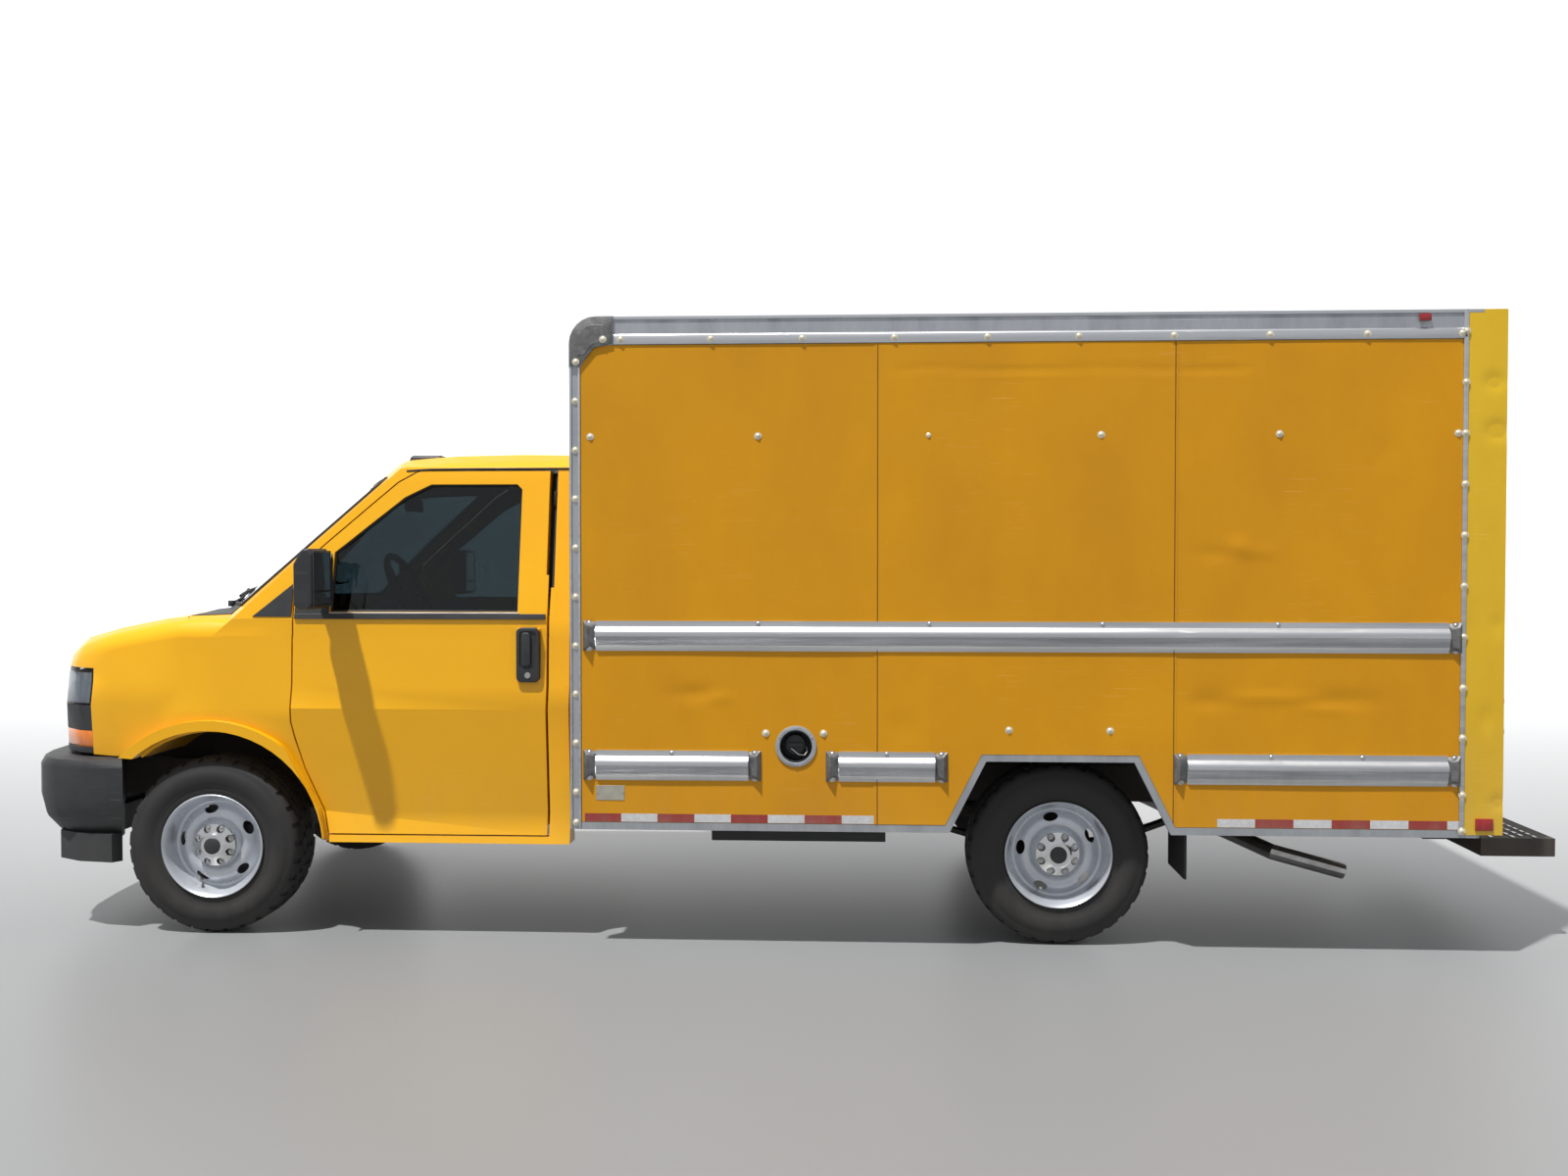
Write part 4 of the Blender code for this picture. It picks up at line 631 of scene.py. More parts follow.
def clear(name, tint, rough, ior=1.45):
    """Glass or a clear lens, with a faint film of dust in its roughness."""
    look = bpy.data.materials.new(name)
    look.use_nodes = True
    tree = look.node_tree
    shader = tree.nodes["Principled BSDF"]
    film = remap(tree, noise(tree, 4.0, 5.0), 0.40, 0.75, rough, rough + 0.008)
    colour = blend(tree, remap(tree, noise(tree, 1.5, 2.0), 0.3, 0.7), tint, tuple(v * 0.94 for v in tint))
    feed(tree, shader, Base_Color=colour, Roughness=film)
    shader.inputs["Transmission Weight"].default_value = 1.0
    shader.inputs["IOR"].default_value = ior
    return look


GLASS = clear("tinted_glass", (0.105, 0.150, 0.165), 0.0)
CLEAR_LENS = clear("clear_lens", (0.90, 0.93, 0.95), 0.02, 1.30)
for paint in (CAB_PAINT, PANEL_PAINT, POST_PAINT):
    paint.node_tree.nodes["Principled BSDF"].inputs["Specular IOR Level"].default_value = 0.3
print("finishes:", len(bpy.data.materials))


# %% [markdown]
# CAD nodes whose shape is already right keep their mesh and only get a better finish.

# %% Finish the CAD nodes that stay
KEPT = {
    "cab_shell": CAB_PAINT, "hood": CAB_PAINT, "fender_left": CAB_PAINT, "fender_right": CAB_PAINT,
    "door_left": CAB_PAINT, "door_right": CAB_PAINT, "box_side_left": PANEL_PAINT,
    "box_side_right": PANEL_PAINT, "box_front_wall": PANEL_PAINT, "rear_frame": POST_PAINT,
    "box_roof": WHITE, "rollup_door": WHITE, "box_frame": DULL_ALUMINIUM,
    "skirt_rail_left": DULL_ALUMINIUM, "skirt_rail_right": DULL_ALUMINIUM, "windshield": GLASS,
    "door_glass_left": GLASS, "door_glass_right": GLASS, "tailpipe": STEEL, "front_bumper": BLACK,
    "grille": BLACK, "mirror_left": BLACK, "mirror_right": BLACK, "steering_wheel": BLACK,
    "dashboard": GREY_PLASTIC, "cab_floor": GREY_PLASTIC, "fuel_filler": BLACK, "fuel_tank": BLACK,
    "mud_flap_left": RUBBER, "mud_flap_right": RUBBER, "headlamp_left": BLACK, "headlamp_right": BLACK,
}
for node, obj in NODES.items():
    obj.data.materials.clear()
    obj.data.materials.append(KEPT.get(node, UNDERBODY))
print("kept nodes:", len(KEPT))

# %% [markdown]
# A tyre is one cross-section spun round the axle, so it is modelled that way. The tread is then cut into
# it in edit mode: every rib between the grooves is split into blocks by pushing some faces inwards.

# %% Tyre
TYRE_RADIUS = WHEEL_Z
TYRE_HALF = (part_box("tyre_rear_left")[1][1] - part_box("tyre_rear_left")[0][1]) / 2
TREAD_STEPS = 90
GROOVE = 0.009


def tyre_section():
    """Half of the tyre's cross-section from the bead to the middle of the tread, then mirrored."""
    side = [(0.208, 0.095), (0.214, 0.104), (0.226, 0.108), (0.240, 0.1105), (0.246, 0.1095),
            (0.262, 0.1165), (0.290, TYRE_HALF - 0.002), (0.318, TYRE_HALF - 0.004), (0.322, 0.116),
            (0.336, 0.1145), (0.352, 0.108), (0.362, 0.099)]
    tread = [(TYRE_RADIUS - 0.003, 0.088)]
    for rib_outer, rib_inner in ((0.062, 0.052), (0.022, 0.012)):
        tread += [(TYRE_RADIUS - 0.001, rib_outer), (TYRE_RADIUS - 0.001 - GROOVE, rib_outer - 0.002),
                  (TYRE_RADIUS - 0.001 - GROOVE, rib_inner + 0.002), (TYRE_RADIUS, rib_inner)]
    half = side + tread
    return half + [(radius, -along) for radius, along in reversed(half)]


def tread_block(centre):
    """Which faces become the gaps between tread blocks: staggered from rib to rib."""
    def test(face):
        place = face.calc_center_median() - centre
        radius = math.hypot(place.x, place.z)
        step = round((math.degrees(math.atan2(place.z, place.x)) % 360) / 360 * TREAD_STEPS - 0.5)
        shoulder = radius > 0.350 and 0.062 < abs(place.y)
        middle_rib = radius > TYRE_RADIUS - 0.004 and abs(place.y) < 0.062
        stagger = 0 if abs(place.y) > 0.062 else (1 if place.y > 0.022 or abs(place.y) < 0.012 else 2)
        return (shoulder or middle_rib) and (step + stagger) % 3 == 0
    return test


def make_tyre():
    centre = middle("tyre_rear_left")
    tyre = turned(tyre_section(), centre, TREAD_STEPS)
    pick(tyre, tread_block(centre))
    bpy.ops.mesh.inset(thickness=0.0022, depth=0, use_even_offset=True, use_individual=False)
    bpy.ops.mesh.extrude_region_shrink_fatten(TRANSFORM_OT_shrink_fatten={"value": -0.0065})
    leave(tyre, outward=True)
    return tyre


first_tyre = make_tyre()
WHEELS = [(end, side, word) for end in ("front", "rear") for side, word in SIDES]
REAR_LEFT = middle("tyre_rear_left")
for end, side, word in WHEELS:
    shift = Matrix.Translation(middle("tyre_%s_%s" % (end, word)) - REAR_LEFT)
    tyre = copied(first_tyre, shift)
    done(tyre, "tread_%s_%s" % (end, word), RUBBER, "wheel_%s_%s" % (end, word), 38)
    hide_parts("tyre_%s_%s" % (end, word))
print("tyre faces:", len(first_tyre.data.polygons))
bpy.data.objects.remove(first_tyre, do_unlink=True)


# %% [markdown]
# The wheels are pressed steel: a barrel, a shallow dish with five oval slots, and a raised hub ring. The
# dish is spun like the tyre, and the slots are cut with flattened cylinders. The bright hub cap has eight
# scallops where the nuts show, and a plain black disc in its middle where a badge would be.

# %% Wheel dish
SLOTS = 5
SLOT_ANGLE = math.radians(72)
RIM_SECTION = [(0.2185, -0.1145), (0.2150, -0.1170), (0.2090, -0.1120), (0.2030, -0.0980), (0.1970, -0.0860),
               (0.1900, -0.0640), (0.1840, -0.0420), (0.1740, -0.0380), (0.1600, -0.0500), (0.1460, -0.0610),
               (0.1320, -0.0670), (0.1180, -0.0660), (0.1080, -0.0580), (0.1010, -0.0520), (0.0970, -0.0560),
               (0.0900, -0.0640), (0.0600, -0.0650), (0.0600, -0.0600), (0.0880, -0.0590), (0.0940, -0.0500),
               (0.1020, -0.0460), (0.1120, -0.0520), (0.1320, -0.0610), (0.1460, -0.0550), (0.1620, -0.0430),
               (0.1740, -0.0310), (0.1840, -0.0330), (0.1840, 0.0250), (0.1960, 0.0620), (0.2040, 0.0980),
               (0.2120, 0.1080), (0.2160, 0.1050), (0.2078, 0.0930), (0.2000, 0.0600), (0.1890, 0.0250),
               (0.1890, -0.0400), (0.1960, -0.0700), (0.2078, -0.0930), (0.2160, -0.1080)]


def make_rim(centre):
    """The left rear wheel, its outer face towards -Y."""
    rim = turned(RIM_SECTION, centre, 72)
    for index in range(SLOTS):
        angle = math.radians(100) + index * SLOT_ANGLE
        bpy.ops.object.select_all(action="DESELECT")
        bpy.ops.mesh.primitive_cylinder_add(vertices=28, radius=1.0, depth=0.2, rotation=(math.pi / 2, 0, 0),
                                            scale=(0.0165, 0.0300, 1.0))
        slot = settle(bpy.context.object)
        quarter_turn = Matrix.Rotation(math.pi / 2, 4, "Y")
        slot.data.transform(Matrix.Rotation(math.pi / 2 - angle, 4, "Y") @ quarter_turn)
        place = Vector((math.cos(angle), 0.0, math.sin(angle))) * 0.150
        slot.data.transform(Matrix.Translation(centre + place))
        boolean(rim, slot)
    return rounded(rim, 0.0012, 1, 50)


def hub_cap(centre):
    """The bright cap with eight scallops round its edge."""
    cap = disc((0, 0, 0), 0.088, 0.030, sides=64)
    pick(cap, lambda face: face.normal.y < -0.9)
    bpy.ops.mesh.inset(thickness=0.028, depth=0.016)
    bpy.ops.mesh.inset(thickness=0.012, depth=0.010)
    leave(cap)
    for index in range(8):
        angle = math.radians(22.5 + 45 * index)
        scoop = disc((0.074 * math.cos(angle), -0.010, 0.074 * math.sin(angle)), 0.0165, 0.05, sides=20)
        boolean(cap, scoop)
    rounded(cap, 0.003, 3, 40)
    cap.data.transform(Matrix.Translation(centre + Vector((0, -0.071, 0))))
    return cap


def wheel_nuts(centre):
    """Eight nuts on studs, a valve stem and a hub face behind them."""
    nut = disc((0, 0, 0), 0.0135, 0.024, sides=6, bevel=0.0015)
    stud = disc((0, -0.015, 0), 0.0065, 0.016, sides=14, bevel=0.001)
    nut = merged([nut, stud])
    nuts = []
    for index in range(8):
        angle = math.radians(22.5 + 45 * index)
        place = centre + Vector((0.074 * math.cos(angle), -0.072, 0.074 * math.sin(angle)))
        nuts.append(copied(nut, Matrix.Translation(place)))
    bpy.data.objects.remove(nut, do_unlink=True)
    nuts.append(disc(centre + Vector((0, -0.058, 0)), 0.092, 0.008, sides=48, bevel=0.002))
    angle = math.radians(244)
    ray = Vector((math.cos(angle), 0, math.sin(angle)))
    nuts.append(bar(centre + ray * 0.176 + Vector((0, -0.036, 0)),
                    centre + ray * 0.160 + Vector((0, -0.078, 0)), 0.0045, 12))
    nuts.append(bar(centre + ray * 0.161 + Vector((0, -0.074, 0)),
                    centre + ray * 0.157 + Vector((0, -0.087, 0)), 0.0060, 12))
    return merged(nuts)


first_rim = make_rim(REAR_LEFT)
first_cap = hub_cap(REAR_LEFT)
first_nuts = wheel_nuts(REAR_LEFT)
first_badge = disc(REAR_LEFT + Vector((0, -0.1135, 0)), 0.0345, 0.008, sides=40, bevel=0.003)
rounded(first_badge, 0.001, 1)
for end, side, word in WHEELS:
    place = middle("tyre_%s_%s" % (end, word))
    turn = Matrix.Translation(place) @ (OTHER_SIDE if side == RIGHT else Matrix.Identity(4))
    shift = turn @ Matrix.Translation(-REAR_LEFT)
    body = "wheel_%s_%s" % (end, word)
    for first, name, look in ((first_rim, "dish", WHEEL_PAINT), (first_cap, "hub_cap", CHROME),
                              (first_nuts, "nuts", STEEL), (first_badge, "cap_disc", BLACK)):
        copy_here = copied(first, shift)
        done(copy_here, "%s_%s_%s" % (name, end, word), look, body, 35)
        if name == "dish":
            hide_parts("rim_%s_%s" % (end, word))
for first in (first_rim, first_cap, first_nuts, first_badge):
    bpy.data.objects.remove(first, do_unlink=True)
print("wheels:", len(WHEELS))


# %% [markdown]
# Brakes and springs can be seen through the slots and below the skirt: a disc and calliper on each
# knuckle, coil springs in front, and straps round the leaf springs.

# %% Brakes and springs
for side, word in SIDES:
    outer = abs(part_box("knuckle_%s" % word)[0 if side == LEFT else 1][1])
    brake = disc((FRONT_AXLE, side * (outer - 0.058), WHEEL_Z), 0.163, 0.012, sides=64, bevel=0.001)
    done(brake, "brake_disc_" + word, STEEL, "knuckle_" + word)
    calliper = block((FRONT_AXLE + 0.070, FRONT_AXLE + 0.172),
                     (side * (outer - 0.085), side * (outer - 0.030)),
                     (WHEEL_Z - 0.075, WHEEL_Z + 0.075), 0.012)
    done(calliper, "calliper_" + word, CAST, "knuckle_" + word)
    turns = 7
    spiral = []
    for index in range(turns * 16 + 1):
        angle = 2 * math.pi * index / 16
        spiral.append((FRONT_AXLE + 0.066 * math.cos(angle), side * 0.520 + 0.066 * math.sin(angle),
                       0.235 + 0.290 * index / (turns * 16)))
    done(sweep(spiral, 0.0085), "coil_spring_" + word, UNDERBODY, "van")
    straps = []
    for shift in (-0.055, 0.055):
        for inward in (0.455, 0.540):
            straps.append(bar((REAR_AXLE + shift, side * inward, 0.290),
                              (REAR_AXLE + shift, side * inward, 0.445), 0.008))
    straps.append(block((REAR_AXLE - 0.085, REAR_AXLE + 0.085), (side * 0.448, side * 0.548), (0.283, 0.296),
                        0.003))
    straps.append(bar((REAR_AXLE - 0.105, side * 0.400, 0.300), (REAR_AXLE - 0.330, side * 0.360, 0.610),
                      0.026))
    straps.append(bar((REAR_AXLE - 0.110, side * 0.400, 0.290), (REAR_AXLE - 0.210, side * 0.380, 0.430),
                      0.034))
    done(merged(straps), "spring_straps_" + word, UNDERBODY, "van")
print("brakes and springs made")

# %% [markdown]
# The box body's sides are thin aluminium sheets, lapped at two upright seams and riveted to posts. Sheet
# this thin is never flat after years of loading: it has dents and ripples, which are real shapes and so
# are pushed into a finely divided grid. Each sheet covers the plain CAD wall by a millimetre.

# %% Side sheets
SHEET = 0.0012
STANDOFF = 0.0045                 # room between a CAD wall and a sheet over it, for the dents
SEAMS = (REAR_AXLE - 0.754, REAR_AXLE + 0.433)
SHEET_LOW, SHEET_HIGH = SKIRT + 0.0315, BOX_TOP - 0.117
SHEET_START, SHEET_END = BOX_FRONT + 0.047, BOX_REAR - 0.156
DENTS = [  # distance behind the rear axle, height, half sizes, depth: + is pushed in
    (0.687, 1.619, 0.050, 0.040, -0.0060), (0.640, 1.600, 0.110, 0.030, 0.0030),
    (0.760, 1.605, 0.070, 0.025, -0.0025), (0.577, 1.017, 0.080, 0.035, 0.0045),
    (0.830, 1.030, 0.220, 0.022, -0.0030), (1.092, 1.020, 0.120, 0.035, 0.0050),
    (-1.475, 1.034, 0.090, 0.030, 0.0040), (-1.380, 1.020, 0.050, 0.025, -0.0030),
    (-0.640, 0.900, 0.060, 0.060, 0.0025), (1.020, 0.985, 0.080, 0.020, -0.0028),
    (0.300, 0.640, 0.040, 0.030, 0.0030), (1.250, 2.010, 0.060, 0.080, 0.0020)]
CREASES = [(-0.667, 0.720, 2.331, 0.010, 0.0022), (-0.640, 0.100, 2.318, 0.006, -0.0014)]
ARCH = [(REAR_AXLE - 0.503, SKIRT - 0.1), (REAR_AXLE - 0.483, SKIRT), (REAR_AXLE - 0.3225, 0.7965),
        (REAR_AXLE + 0.2995, 0.7965), (REAR_AXLE + 0.459, SKIRT), (REAR_AXLE + 0.471, SKIRT - 0.1)]


def pushed_in(x, z, side):
    """How far the sheet is dented inwards at a place."""
    back = x - REAR_AXLE
    if side == RIGHT:
        back = 0.9 - back
    depth = 0.0
    for middle_x, middle_z, wide, high, deep in DENTS:
        near = ((back - middle_x) / wide) ** 2 + ((z - middle_z) / high) ** 2
        if near < 9.0:
            depth += deep * math.exp(-near)
    for start, end, level, high, deep in CREASES:
        if start - 0.05 < back < end + 0.05:
            fade = min(1.0, (back - start + 0.05) / 0.1, (end + 0.05 - back) / 0.1)
            depth += deep * fade * math.exp(-((z - level - 0.004 * math.sin(9 * back)) / high) ** 2)
    ripple = 0.0007 * math.sin(6.1 * back + 1.3 * side) * math.sin(5.3 * z + 0.7 * back)
    return depth + ripple


def side_sheet(side, start, end, lap, name):
    """One sheet of a side, dented, cut round the wheel arch and the filler."""
    across = max(4, int((end - start) / 0.020))
    up = int((SHEET_HIGH - SHEET_LOW) / 0.016)
    sheet = sheet_grid((start, end), (SHEET_LOW, SHEET_HIGH), across, up)
    face = PANEL + 0.0004 + lap
    for corner in sheet.data.vertices:
        margin = min(corner.co.x - start, end - corner.co.x, corner.co.z - SHEET_LOW,
                     SHEET_HIGH - corner.co.z)
        hold = min(1.0, max(0.0, margin / 0.03))
        push = pushed_in(corner.co.x, corner.co.z, side) * hold
        corner.co.y = side * (face + STANDOFF - min(push, STANDOFF))
    pick(sheet, lambda part: True)
    bpy.ops.mesh.extrude_region_move(TRANSFORM_OT_translate={"value": (0, -side * SHEET, 0)})
    leave(sheet, outward=True)
    if start < ARCH[-1][0] and end > ARCH[0][0]:
        boolean(sheet, plate(ARCH, -1.3, 1.3))
    if side == LEFT and start < middle("fuel_filler").x < end:
        filler = middle("fuel_filler")
        boolean(sheet, disc((filler.x, -PANEL, filler.z), 0.0785, 0.2, sides=48))
    return done(sheet, name, PANEL_PAINT, "van", 30)


for side, word in SIDES:
    places = (SHEET_START, *SEAMS, SHEET_END)
    for index, (start, end) in enumerate(zip(places, places[1:])):
        side_sheet(side, start, end + (0.012 if index < 2 else 0.0), 0.0014 * (index % 2),
                   "sheet_%d_%s" % (index, word))
sealant = [block((x - 0.0012, x + 0.0012), (-PANEL - 0.0040, -PANEL - 0.0085), (SHEET_LOW, SHEET_HIGH))
           for x in (SEAMS[0] + 0.013, SEAMS[1] + 0.001)]
for bead in sealant:
    boolean(bead, plate(ARCH, -1.3, 1.3))
SEALANT = surface("seam_sealant", (0.19, 0.085, 0.004), (0.13, 0.060, 0.004), 0.7,
                  variation=(20.0, (1, 1, 1)))
both(merged(sealant), "seam_sealant", SEALANT, "van", 0)
print("side sheets made")


# %% [markdown]
# The corner post of the rear frame is painted steel, wrapped round the back corner and dented by loading
# docks. Long aluminium extrusions finish the other edges: a lip under the top rail, a channel down the
# front post, and a flat strip at the rear.

# %% Posts, rails and corner caps
def dented_skin(x_range, z_range, y_face, dents, side):
    """A sheet over a post, with its own dents, 2 mm thick."""
    skin = sheet_grid(x_range, z_range, 14, 150)
    for corner in skin.data.vertices:
        deep = sum(depth * math.exp(-((corner.co.x - x) / w) ** 2 - ((corner.co.z - z) / h) ** 2)
                   for x, z, w, h, depth in dents)
        corner.co.y = side * (y_face + STANDOFF - min(deep, STANDOFF - 0.0005))
    pick(skin, lambda part: True)
    bpy.ops.mesh.extrude_region_move(TRANSFORM_OT_translate={"value": (0, -side * 0.0018, 0)})
    return leave(skin, outward=True)


POST_DENTS = [(BOX_REAR - 0.050, 2.27, 0.035, 0.030, 0.006), (BOX_REAR - 0.040, 2.08, 0.040, 0.035, 0.007),
              (BOX_REAR - 0.070, 0.95, 0.030, 0.05, 0.003), (BOX_REAR - 0.030, 1.32, 0.025, 0.04, 0.003),
              (BOX_REAR - 0.020, 0.62, 0.030, 0.03, 0.005)]
for side, word in SIDES:
    post = dented_skin((BOX_REAR - 0.150, BOX_REAR - 0.001), (SKIRT + 0.012, BOX_TOP - 0.002), SIDE - 0.001,
                       POST_DENTS, side)
    done(post, "rear_post_skin_" + word, POST_PAINT, "van")

rails = []
lip = [(-SIDE - 0.0002, BOX_TOP - 0.114), (-SIDE - 0.006, BOX_TOP - 0.114), (-SIDE - 0.0075, BOX_TOP - 0.108),
       (-SIDE - 0.0075, BOX_TOP - 0.080), (-SIDE - 0.004, BOX_TOP - 0.074), (-SIDE - 0.0002, BOX_TOP - 0.072)]
bead = [(-SIDE - 0.0002, BOX_TOP - 0.016), (-SIDE - 0.004, BOX_TOP - 0.014), (-SIDE - 0.005, BOX_TOP - 0.008),
        (-SIDE - 0.003, BOX_TOP - 0.001), (-SIDE - 0.0002, BOX_TOP - 0.0008)]


def extruded(section, start, end):
    """A YZ section drawn out along X."""
    obj = outline([(y, z) for y, z in section])
    for corner, (y, z) in zip(obj.data.vertices, section):
        corner.co = (start, y, z)
    pick(obj, lambda face: True)
    bpy.ops.mesh.extrude_region_move(TRANSFORM_OT_translate={"value": (end - start, 0, 0)})
    return leave(obj, outward=True)


rails.append(extruded(lip, BOX_FRONT + 0.184, BOX_REAR - 0.158))
rails.append(extruded(bead, BOX_FRONT + 0.184, BOX_REAR - 0.092))
for near, far, proud in ((0.002, 0.010, 0.005), (0.036, 0.0455, 0.006)):
    rails.append(block((BOX_FRONT + near, BOX_FRONT + far), (-SIDE - proud, -SIDE),
                       (SKIRT + 0.002, BOX_TOP - 0.206), 0.0015))
rails.append(block((BOX_REAR - 0.170, BOX_REAR - 0.151), (-SIDE - 0.0075, -SIDE + 0.002),
                   (SKIRT + 0.012, BOX_TOP - 0.001), 0.0015))
both(merged(rails), "edge_rails", ALUMINIUM, "van")

NOSE_X, NOSE_Z = BOX_FRONT + 0.110, BOX_TOP - 0.110      # centre of the box's rounded upper front edge
cap_arc = [(NOSE_X - 0.106 * math.sin(a), NOSE_Z + 0.106 * math.cos(a))
           for a in [math.radians(90 * i / 10) for i in range(11)]]
cap_points = [(BOX_FRONT + 0.178, BOX_TOP - 0.004)] + cap_arc
cap_points += [(BOX_FRONT + 0.004, BOX_TOP - 0.200), (BOX_FRONT + 0.044, BOX_TOP - 0.200),
               (BOX_FRONT + 0.060, BOX_TOP - 0.180), (BOX_FRONT + 0.104, BOX_TOP - 0.128),
               (BOX_FRONT + 0.178, BOX_TOP - 0.111)]
cap = rounded(plate(cap_points, -SIDE - 0.011, -SIDE - 0.0062), 0.002, 2)
RIB_SCALE = 0.62
rib_points = [(x * RIB_SCALE + (BOX_FRONT + 0.09) * (1 - RIB_SCALE),
               z * RIB_SCALE + (BOX_TOP - 0.085) * (1 - RIB_SCALE)) for x, z in cap_points]
rib = rounded(plate(rib_points, -SIDE - 0.0125, -SIDE - 0.010), 0.001, 1)
both(merged([cap, rib]), "corner_cap", CAST, "van")

nose = []
for index in range(13):
    a = math.radians(90 * index / 12)
    nose.append((NOSE_X - 0.1115 * math.sin(a), NOSE_Z + 0.1085 * math.cos(a)))
inner = [(NOSE_X + (x - NOSE_X) * 0.985, NOSE_Z + (z - NOSE_Z) * 0.985) for x, z in reversed(nose)]
done(plate(nose + inner, -SIDE + 0.004, SIDE - 0.004), "nose_sheet", PANEL_PAINT, "van")
print("rails and caps made")


# %% [markdown]
# Rub rails keep forklifts and posts off the sheets. Each is an extrusion with a flat flange on top, a
# smooth bright slope and a ribbed lower half, closed by two cast ends. The section is drawn once.

# %% Rub rails
RUB_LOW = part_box("rub_upper_left")[0][2]
RUB_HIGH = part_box("rub_upper_left")[1][2] - RUB_LOW
RUB_SECTION = [(0.0, 0.0), (0.0065, 0.0), (0.0080, 0.010), (0.0150, 0.020)]
for step in range(7):
    level = 0.0235 + 0.0052 * step
    RUB_SECTION += [(0.0170 + 0.0014 * step, level), (0.0150 + 0.0014 * step, level + 0.0026)]
RUB_SECTION += [(0.0272, 0.0610), (0.0278, 0.0680), (0.0268, 0.0760), (0.0225, 0.0850), (0.0130, 0.0940),
                (0.0100, 0.0965), (0.0086, 0.0995), (0.0086, RUB_HIGH), (0.0, RUB_HIGH)]
RUB_END = 0.058


def rub_end(x, direction, level):
    """The cast end of a rub rail: full height where it meets the rail, sloping to a rounded nose."""
    cast = block((x, x + direction * RUB_END), (-PANEL, -PANEL - 0.0295),
                 (level - 0.001, level + RUB_HIGH + 0.001))
    pick(cast, lambda face: face.normal.y < -0.9)
    bpy.ops.mesh.inset(thickness=0.018, depth=0)
    leave(cast)
    for corner in cast.data.vertices:
        from_end = abs(corner.co.x - (x + direction * RUB_END))
        up = corner.co.z - level
        if corner.co.y < -PANEL - 0.02:
            if from_end > RUB_END - 0.02:
                corner.co.y += 0.0165
                corner.co.z += 0.012 * (1 if up < RUB_HIGH / 2 else -1)
            if up < 0.012 or up > RUB_HIGH - 0.012:
                corner.co.y = max(corner.co.y, -PANEL - 0.0075)
    return rounded(cast, 0.0035, 3, 20)


def rub_rail(node, side):
    """Replace one CAD rail by the extrusion and its two ends."""
    low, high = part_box(node)
    level = low[2]
    section = [(-PANEL - proud - 0.0005, level + up) for proud, up in RUB_SECTION]
    rail = extruded(section, low[0] + RUB_END - 0.006, high[0] - RUB_END + 0.006)
    ends = merged([rub_end(low[0] + RUB_END, -1, level), rub_end(high[0] - RUB_END, 1, level)])
    name = node.replace("rub_", "")
    for obj in (rail, ends):
        if side == RIGHT:
            obj.data.transform(OTHER_SIDE)
            obj.data.flip_normals()
    done(rail, "rub_rail_" + name, ALUMINIUM, "van", 28)
    done(ends, "rub_ends_" + name, CAST, "van", 28)
    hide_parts(node)


RUB_NODES = [node for node in NODES if node.startswith("rub_")]
for node in RUB_NODES:
    rub_rail(node, RIGHT if node.endswith("right") else LEFT)
print("rub rails:", len(RUB_NODES))


# %% [markdown]
# Domed bolts hold it all together. One bolt is modelled with a few dozen faces, and every row on a side
# is a copy of it; the rows are joined into one piece per side.

# %% Bolts
def bolt(radius=0.0115):
    """A domed head on a thin washer, its head towards -Y."""
    bpy.ops.object.select_all(action="DESELECT")
    bpy.ops.mesh.primitive_uv_sphere_add(segments=14, ring_count=8, radius=radius, rotation=TURNS["Y"])
    head = settle(bpy.context.object)
    pick(head, lambda corner: True, "VERT")
    bpy.ops.mesh.bisect(plane_co=(0, 0, 0), plane_no=(0, 1, 0), clear_outer=True, use_fill=True)
    leave(head, outward=True)
    head.data.transform(Matrix.Diagonal((1, 0.62, 1, 1)))
    washer = disc((0, -0.0006, 0), radius * 1.35, 0.0022, sides=16)
    return merged([head, washer])


def bolt_places():
    """Where the left side's bolts are: x, height, and how far out the surface under them is."""
    spots = []
    skin = PANEL + 0.0049
    for x in (-1.774, -1.409, -1.043, -0.675, -0.306, 0.054, 0.426, 0.799, 1.174, 1.539):
        spots.append((x, BOX_TOP - 0.094, SIDE + 0.0075))
    spots += [(-1.845, BOX_TOP - 0.094, SIDE + 0.011), (-1.955, BOX_TOP - 0.184, SIDE + 0.011)]
    for level in (2.216, 2.018, 1.822, 1.624, 1.425, 1.226, 1.031, 0.832, 0.632, 0.508):
        spots.append((BOX_FRONT + 0.024 - REAR_AXLE, level, SIDE))
    for level in (2.470, 2.271, 2.072, 1.873, 1.673, 1.473, 1.273, 1.072, 0.875, 0.651, 0.508):
        spots.append((BOX_REAR - 0.1605 - REAR_AXLE, level, SIDE + 0.0075))
    for x in (-1.899, -1.220, -0.538, 0.144, 0.840, 1.528):
        spots.append((x, 2.072, skin))
    spots += [(-1.189, 0.877, skin), (-0.956, 0.877, skin), (-0.215, 0.895, skin), (0.185, 0.895, skin)]
    return spots


def rail_bolts():
    """Two bolts through each cast end, and one every few feet along the flange."""
    spots = []
    for node in RUB_NODES:
        if node.endswith("right"):
            continue
        low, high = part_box(node)
        for x in (low[0] + 0.026, high[0] - 0.026):
            spots += [(x - REAR_AXLE, low[2] + RUB_HIGH - 0.011, PANEL + 0.0078),
                      (x - REAR_AXLE, low[2] + 0.012, PANEL + 0.0080)]
        count = max(1, round((high[0] - low[0]) / 0.68) - 1) if node != "rub_rear_left" else 2
        for index in range(count):
            x = low[0] + 0.026 + (high[0] - low[0] - 0.052) * (index + 1) / (count + 1)
            spots += [(x - REAR_AXLE, low[2] + RUB_HIGH - 0.011, PANEL + 0.0062)]
    return spots


